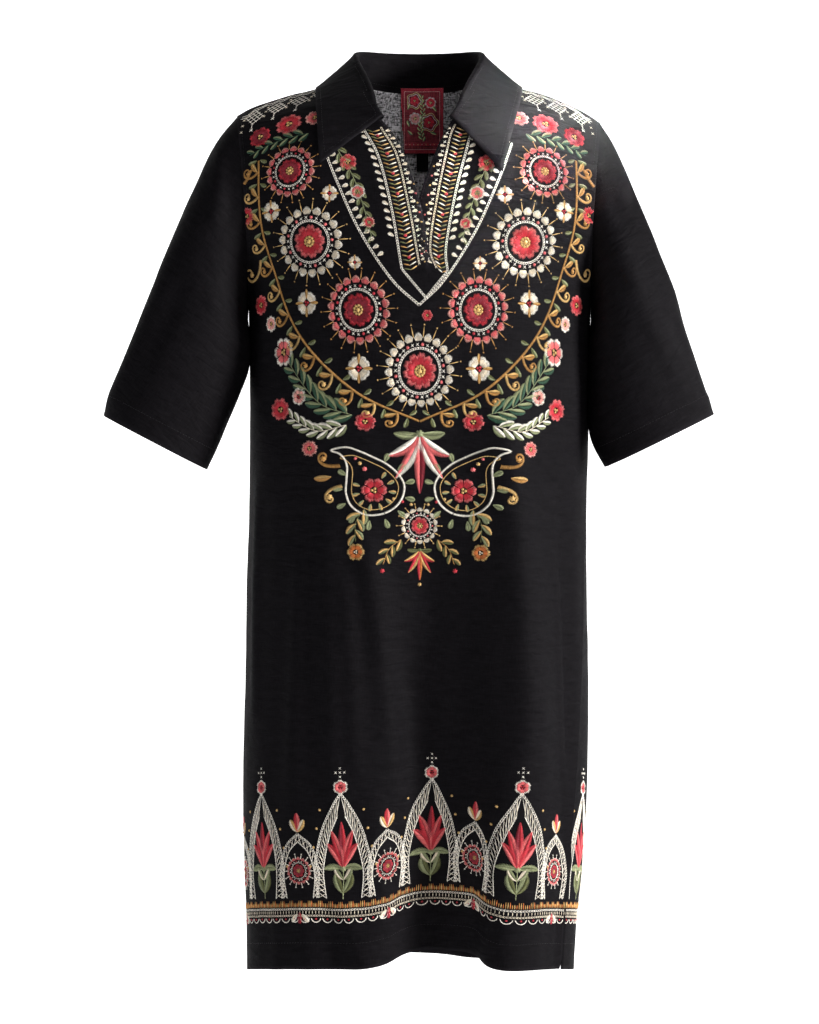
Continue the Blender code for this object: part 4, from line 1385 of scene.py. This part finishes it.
# Each arch's two cords, outer and inner: how far across and up their points lie from its base
tallArch = [[(27, 0), (30, 30j), (22, 70j), (8, 100j), (0, 112j)], [(19, 0), (21, 30j), (14, 64j), (4, 88j)]]
lowArch = [[(20, 0), (23, 26j), (16, 54j), (0, 68j)], [(16, 0), (18.5, 26j), (12, 48j), (0, 60j)]]


def laceArch(work, base, hand, cords, spacing=6.5):
    # Two cords with crossed stitches between them
    lines = [curveThrough([base + hand * across + up for across, up in cord]) for cord in cords]
    outer, inner = lines
    chain(work, outer, "white", 2.8, 3.0, 0.75)
    stem(work, inner, "white", 1.7, 3.0)
    count = round(lineLength(outer) / spacing)
    far, near = (evenly(line, lineLength(line) / count) for line in lines)
    for index in range(min(len(near), len(far)) - 1):
        work.append((near[index], far[index + 1], "white", 1.1, 0.5))
        work.append((near[index + 1], far[index], "cream", 1.1, 0.5))


def tallUnit(work, base):
    for hand in (1, -1):
        laceArch(work, base, hand, tallArch)
        leaf(work, base + 6j, toward(90 - hand * 40), 22, 4.2, "sage", "olive", hand * 0.6)
        leaf(work, base + 20j, toward(90 - hand * 52), 15, 3.0, "cream", "sage", hand * 0.6)
        for step in range(4):
            dot(work, base + hand * (35 - step * 4) + (34 + step * 20) * 1j, 3.0, "gold")
    stem(work, [base, base + 34j], "sage", 1.8)
    tulip(work, base + 32j, 1j, 50, "red", "rose", "crimson", "sage", 0.6)
    blossom(work, base + 119j, 17, "rose", "white", "red", 6, math.pi / 6)
    for spot in (130j, 134.5j, 139j, 4.5 + 134.5j, -4.5 + 134.5j):
        cross(work, base + spot, 2.4, "white")


def lowUnit(work, base):
    for hand in (1, -1):
        laceArch(work, base, hand, lowArch)
        leaf(work, base + 70j, toward(90 - hand * 42), 15, 3.2, "cream", "gold", hand * 0.4)
        leaf(work, base + hand * 3 - 17j, toward(270 + hand * 40), 11, 2.6, "white", "cream")
    leaf(work, base + 70j, 1j, 20, 3.6, "red", "rose")
    rosette(work, base + 29j, 16.5, 7, ("gold", "crimson", "red", "white", "rose", "pink", "white"))
    leaf(work, base - 15j, -1j, 12, 3.0, "red", "crimson")


def hemDesign(low, high):
    work = []
    line = [complex(low, hemBorder["height"]), complex(high, hemBorder["height"])]
    chain(work, line, "white", 2.4)
    chain(work, [spot - 7j for spot in line], "cream", 2.2)
    for spot in evenly(line, 3.6):
        work.append((spot - 1.6j, spot - 5.4j, "cream", 1.3, 0.5))
    for index, spot in enumerate(evenly(line, 1.9)):
        rise = 9.0 if index % 6 < 3 else 6.6
        work.append((spot + 2.2j, spot + rise * 1j, ("ochre", "gold", "orange")[index % 3], 1.7, 0.7))
    scallops = max(1, round((high - low) / 12.4))
    width = (high - low) / scallops
    for index in range(scallops):
        middle = complex(low + (index + 0.5) * width, hemBorder["height"] - 9)
        stem(work, ringLine(middle, width * 0.42, 190, 350), "white", 1.7, 2.6)
        dot(work, middle - 1.5j, 2.2, "red")
    period = (high - low) / hemBorder["units"]
    foot = complex(low, hemBorder["height"] + hemBorder["arches"])
    for index in range(hemBorder["units"]):
        tallUnit(work, foot + (index + hemBorder["phase"]) * period)
        lowUnit(work, foot + (index + hemBorder["phase"] + 0.5) * period)
    return work


def hemCarrier(plan):
    # Heights count from the hem's own edge in the flat plan
    across, edge = hemRim([(corner.x, corner.y) for corner in plan["corners"]])

    def carry(spot):
        return onCloth(plan, complex(spot.real, np.interp(spot.real, across, edge) + spot.imag))

    return carry, across[0] - 2, across[-1] + 2


for name, plan, seed, beside in (("frontHemEmbroidery", frontPlan, 21, onFrontCloth),
                                 ("backHemEmbroidery", backPlan, 22, onBackCloth)):
    carry, low, high = hemCarrier(plan)
    beside.append(embroider(name, carry, hemDesign(low, high), seed))
print("hem embroidered")


# Collar, label and tag keep their solid's wall, rounded at the edges

def makeWalled(name, pieceName, levels, material, sharp):
    bm = solidMesh(name)
    bmesh.ops.join_triangles(bm, faces=bm.faces[:], angle_face_threshold=0.9, angle_shape_threshold=2.2)
    bm.normal_update()
    creaseLayer = bm.edges.layers.float.new("crease_edge")
    for edge in bm.edges:
        if len(edge.link_faces) == 2 and edge.calc_face_angle() > math.radians(50):
            edge[creaseLayer] = sharp
    piece = clothObject(bm, pieceName)
    piece.data.materials.clear()
    piece.data.materials.append(material)
    editAll(piece)
    bpy.ops.uv.cube_project(cube_size=1.0)
    bpy.ops.object.mode_set(mode="OBJECT")
    smoothCloth(piece, levels)
    bpy.ops.object.shade_smooth()
    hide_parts(name)
    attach(piece, "root")
    return piece


stitchedIn = 5.5  # the collar's line of stitches from its edge, in millimetres
collarCloth = makeWalled("collar", "collarCloth", 2, linenOutside, 0.75)
mesh = collarCloth.data
sharpEdges = [tuple(mesh.vertices[index].co.copy() for index in edge.vertices)
              for edge, value in zip(mesh.edges, mesh.attributes["crease_edge"].data) if value.value > 0.5]
distances = edgeDistances(mesh, sharpEdges)
markWear(mesh, distances)
seams = []
for run in linesAt(mesh, distances, stitchedIn):
    sewAlong(seams, run)
collarSewing = makeThreads("collarSewing", seams, 6)
labelCloth = makeWalled("label", "labelCloth", 1, linenMaterial("wovenLabelWithPaintedLight", labelWeaveWithPaintedLight), 1.0)
print("collar and label shaped")


# The label's woven design: two pairs of flowers on a leafy stem over a red band, in a border of three lines

labelTree = BVHTree.FromPolygons([vert.co.copy() for vert in labelCloth.data.vertices],
                                 [tuple(face.vertices) for face in labelCloth.data.polygons])
# The label's threads are lightened threefold, painted light for the shade inside the neck
label = {"left": -20.0, "right": 27.0, "top": 2.0, "bottom": -69.0,
         "scale": 0.55, "paintedLightGain": 3.0, "bold": 1.35}


def onLabel(spot):
    hit, normal, *_ = labelTree.ray_cast(Vector((spot.real, 20, spot.imag)) * mm, Vector((0, 1, 0)))
    return None if hit is None else (hit, normal)


def labelDesign(size):
    left, right, top, bottom = (size[side] / size["scale"] for side in ("left", "right", "top", "bottom"))
    work = []
    for inset, colour in ((2.2, "red"), (4.6, "crimson"), (7.4, "rose")):
        corners = [complex(left + inset, top - inset), complex(right - inset, top - inset),
                   complex(right - inset, bottom + inset), complex(left + inset, bottom + inset)]
        for here, there in zip(corners, corners[1:] + corners[:1]):
            stem(work, [here, there], colour, 2.0, 3.4)
    head = complex((left + right) / 2, top)
    for place, radius, turn in ((head + 14 - 68j, 15, 0.2), (head - 15 - 25j, 13, 0.5)):
        blossom(work, place, radius * 1.5, "crimson", "red", "gold", 6, turn)
        for scale, colour in ((0.92, "pink"), (1.16, "gold")):
            lobes = [place + toward(angle) * radius * (scale + 0.13 * math.cos(math.radians(5 * angle)))
                     for angle in range(0, 370, 10)]
            stem(work, lobes, colour, 2.1, 3.0)
    foot = complex(head.real + 2, bottom + 24)
    work += drawn([
        (blossom, head - 14 - 60j, 27, "rose", "cream", "gold", 8, 0.2),
        (blossom, head + 17 - 29j, 25, "red", "pink", "gold", 8, 0.2),
        (sprig, [foot, head - 3 - 78j, head + 2 - 46j, head - 2 - 12j], "green", "sage", "green", 10, 8.5),
    ])
    for across, down, angle in ((14, 42, 60), (-14, 46, 120), (14, 84, -50), (-14, 92, 150), (17, 76, 100)):
        edge = left if across > 0 else right
        leaf(work, complex(edge + across, top - down), toward(angle), 12, 2.6, "sage", "green", 0.3)
    line = [complex(left + 10, bottom + 20), complex(right - 10, bottom + 20)]
    for spot in evenly(line, 2.4):
        work.append((spot - 6j, spot + 1j, "red", 1.9, 0.5))
    for index, spot in enumerate(evenly(line, 8.2)):
        cross(work, spot - 2.5j, 2.6, ("cream", "sage")[index % 2])
    return work


labelWeaving = embroider("labelWeaving", onLabel, labelDesign(label), 31, label["scale"], label["paintedLightGain"],
                         label["bold"])
tagCloth = makeWalled("size_tag", "sizeTagCloth", 1, linenOutside, 1.0)
print("label woven, size tag shaped")


# Each cloth's cut in metres (width and length, then area), how it is held, on what, and what lies on it

sheets = [
    (frontCloth, (0.549, 1.022), 0.477, "hung", ["collar"], onFrontCloth + [hemSewing]),
    (backCloth, (0.532, 1.036), 0.483, "hung", ["collar"], onBackCloth),
    (sleeveRightCloth, (0.426, 0.415), 0.110, "hung", ["front", "back"], []),
    (sleeveLeftCloth, (0.374, 0.410), 0.100, "hung", ["front", "back"], []),
    (collarCloth, (0.62, 0.13), 0.045, "folded", ["front", "back"], [collarSewing]),
    (labelCloth, (0.047, 0.071), 0.0033, "hung", ["back"], [labelWeaving]),
    (tagCloth, (0.013, 0.029), 0.00037, "hung", ["back"], []),
]
for piece, flat, area, held, rests, beside in sheets:
    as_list(rests)
    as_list(beside)

low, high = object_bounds()
{"cad": cadBox, "visual": [list(low), list(high)]}
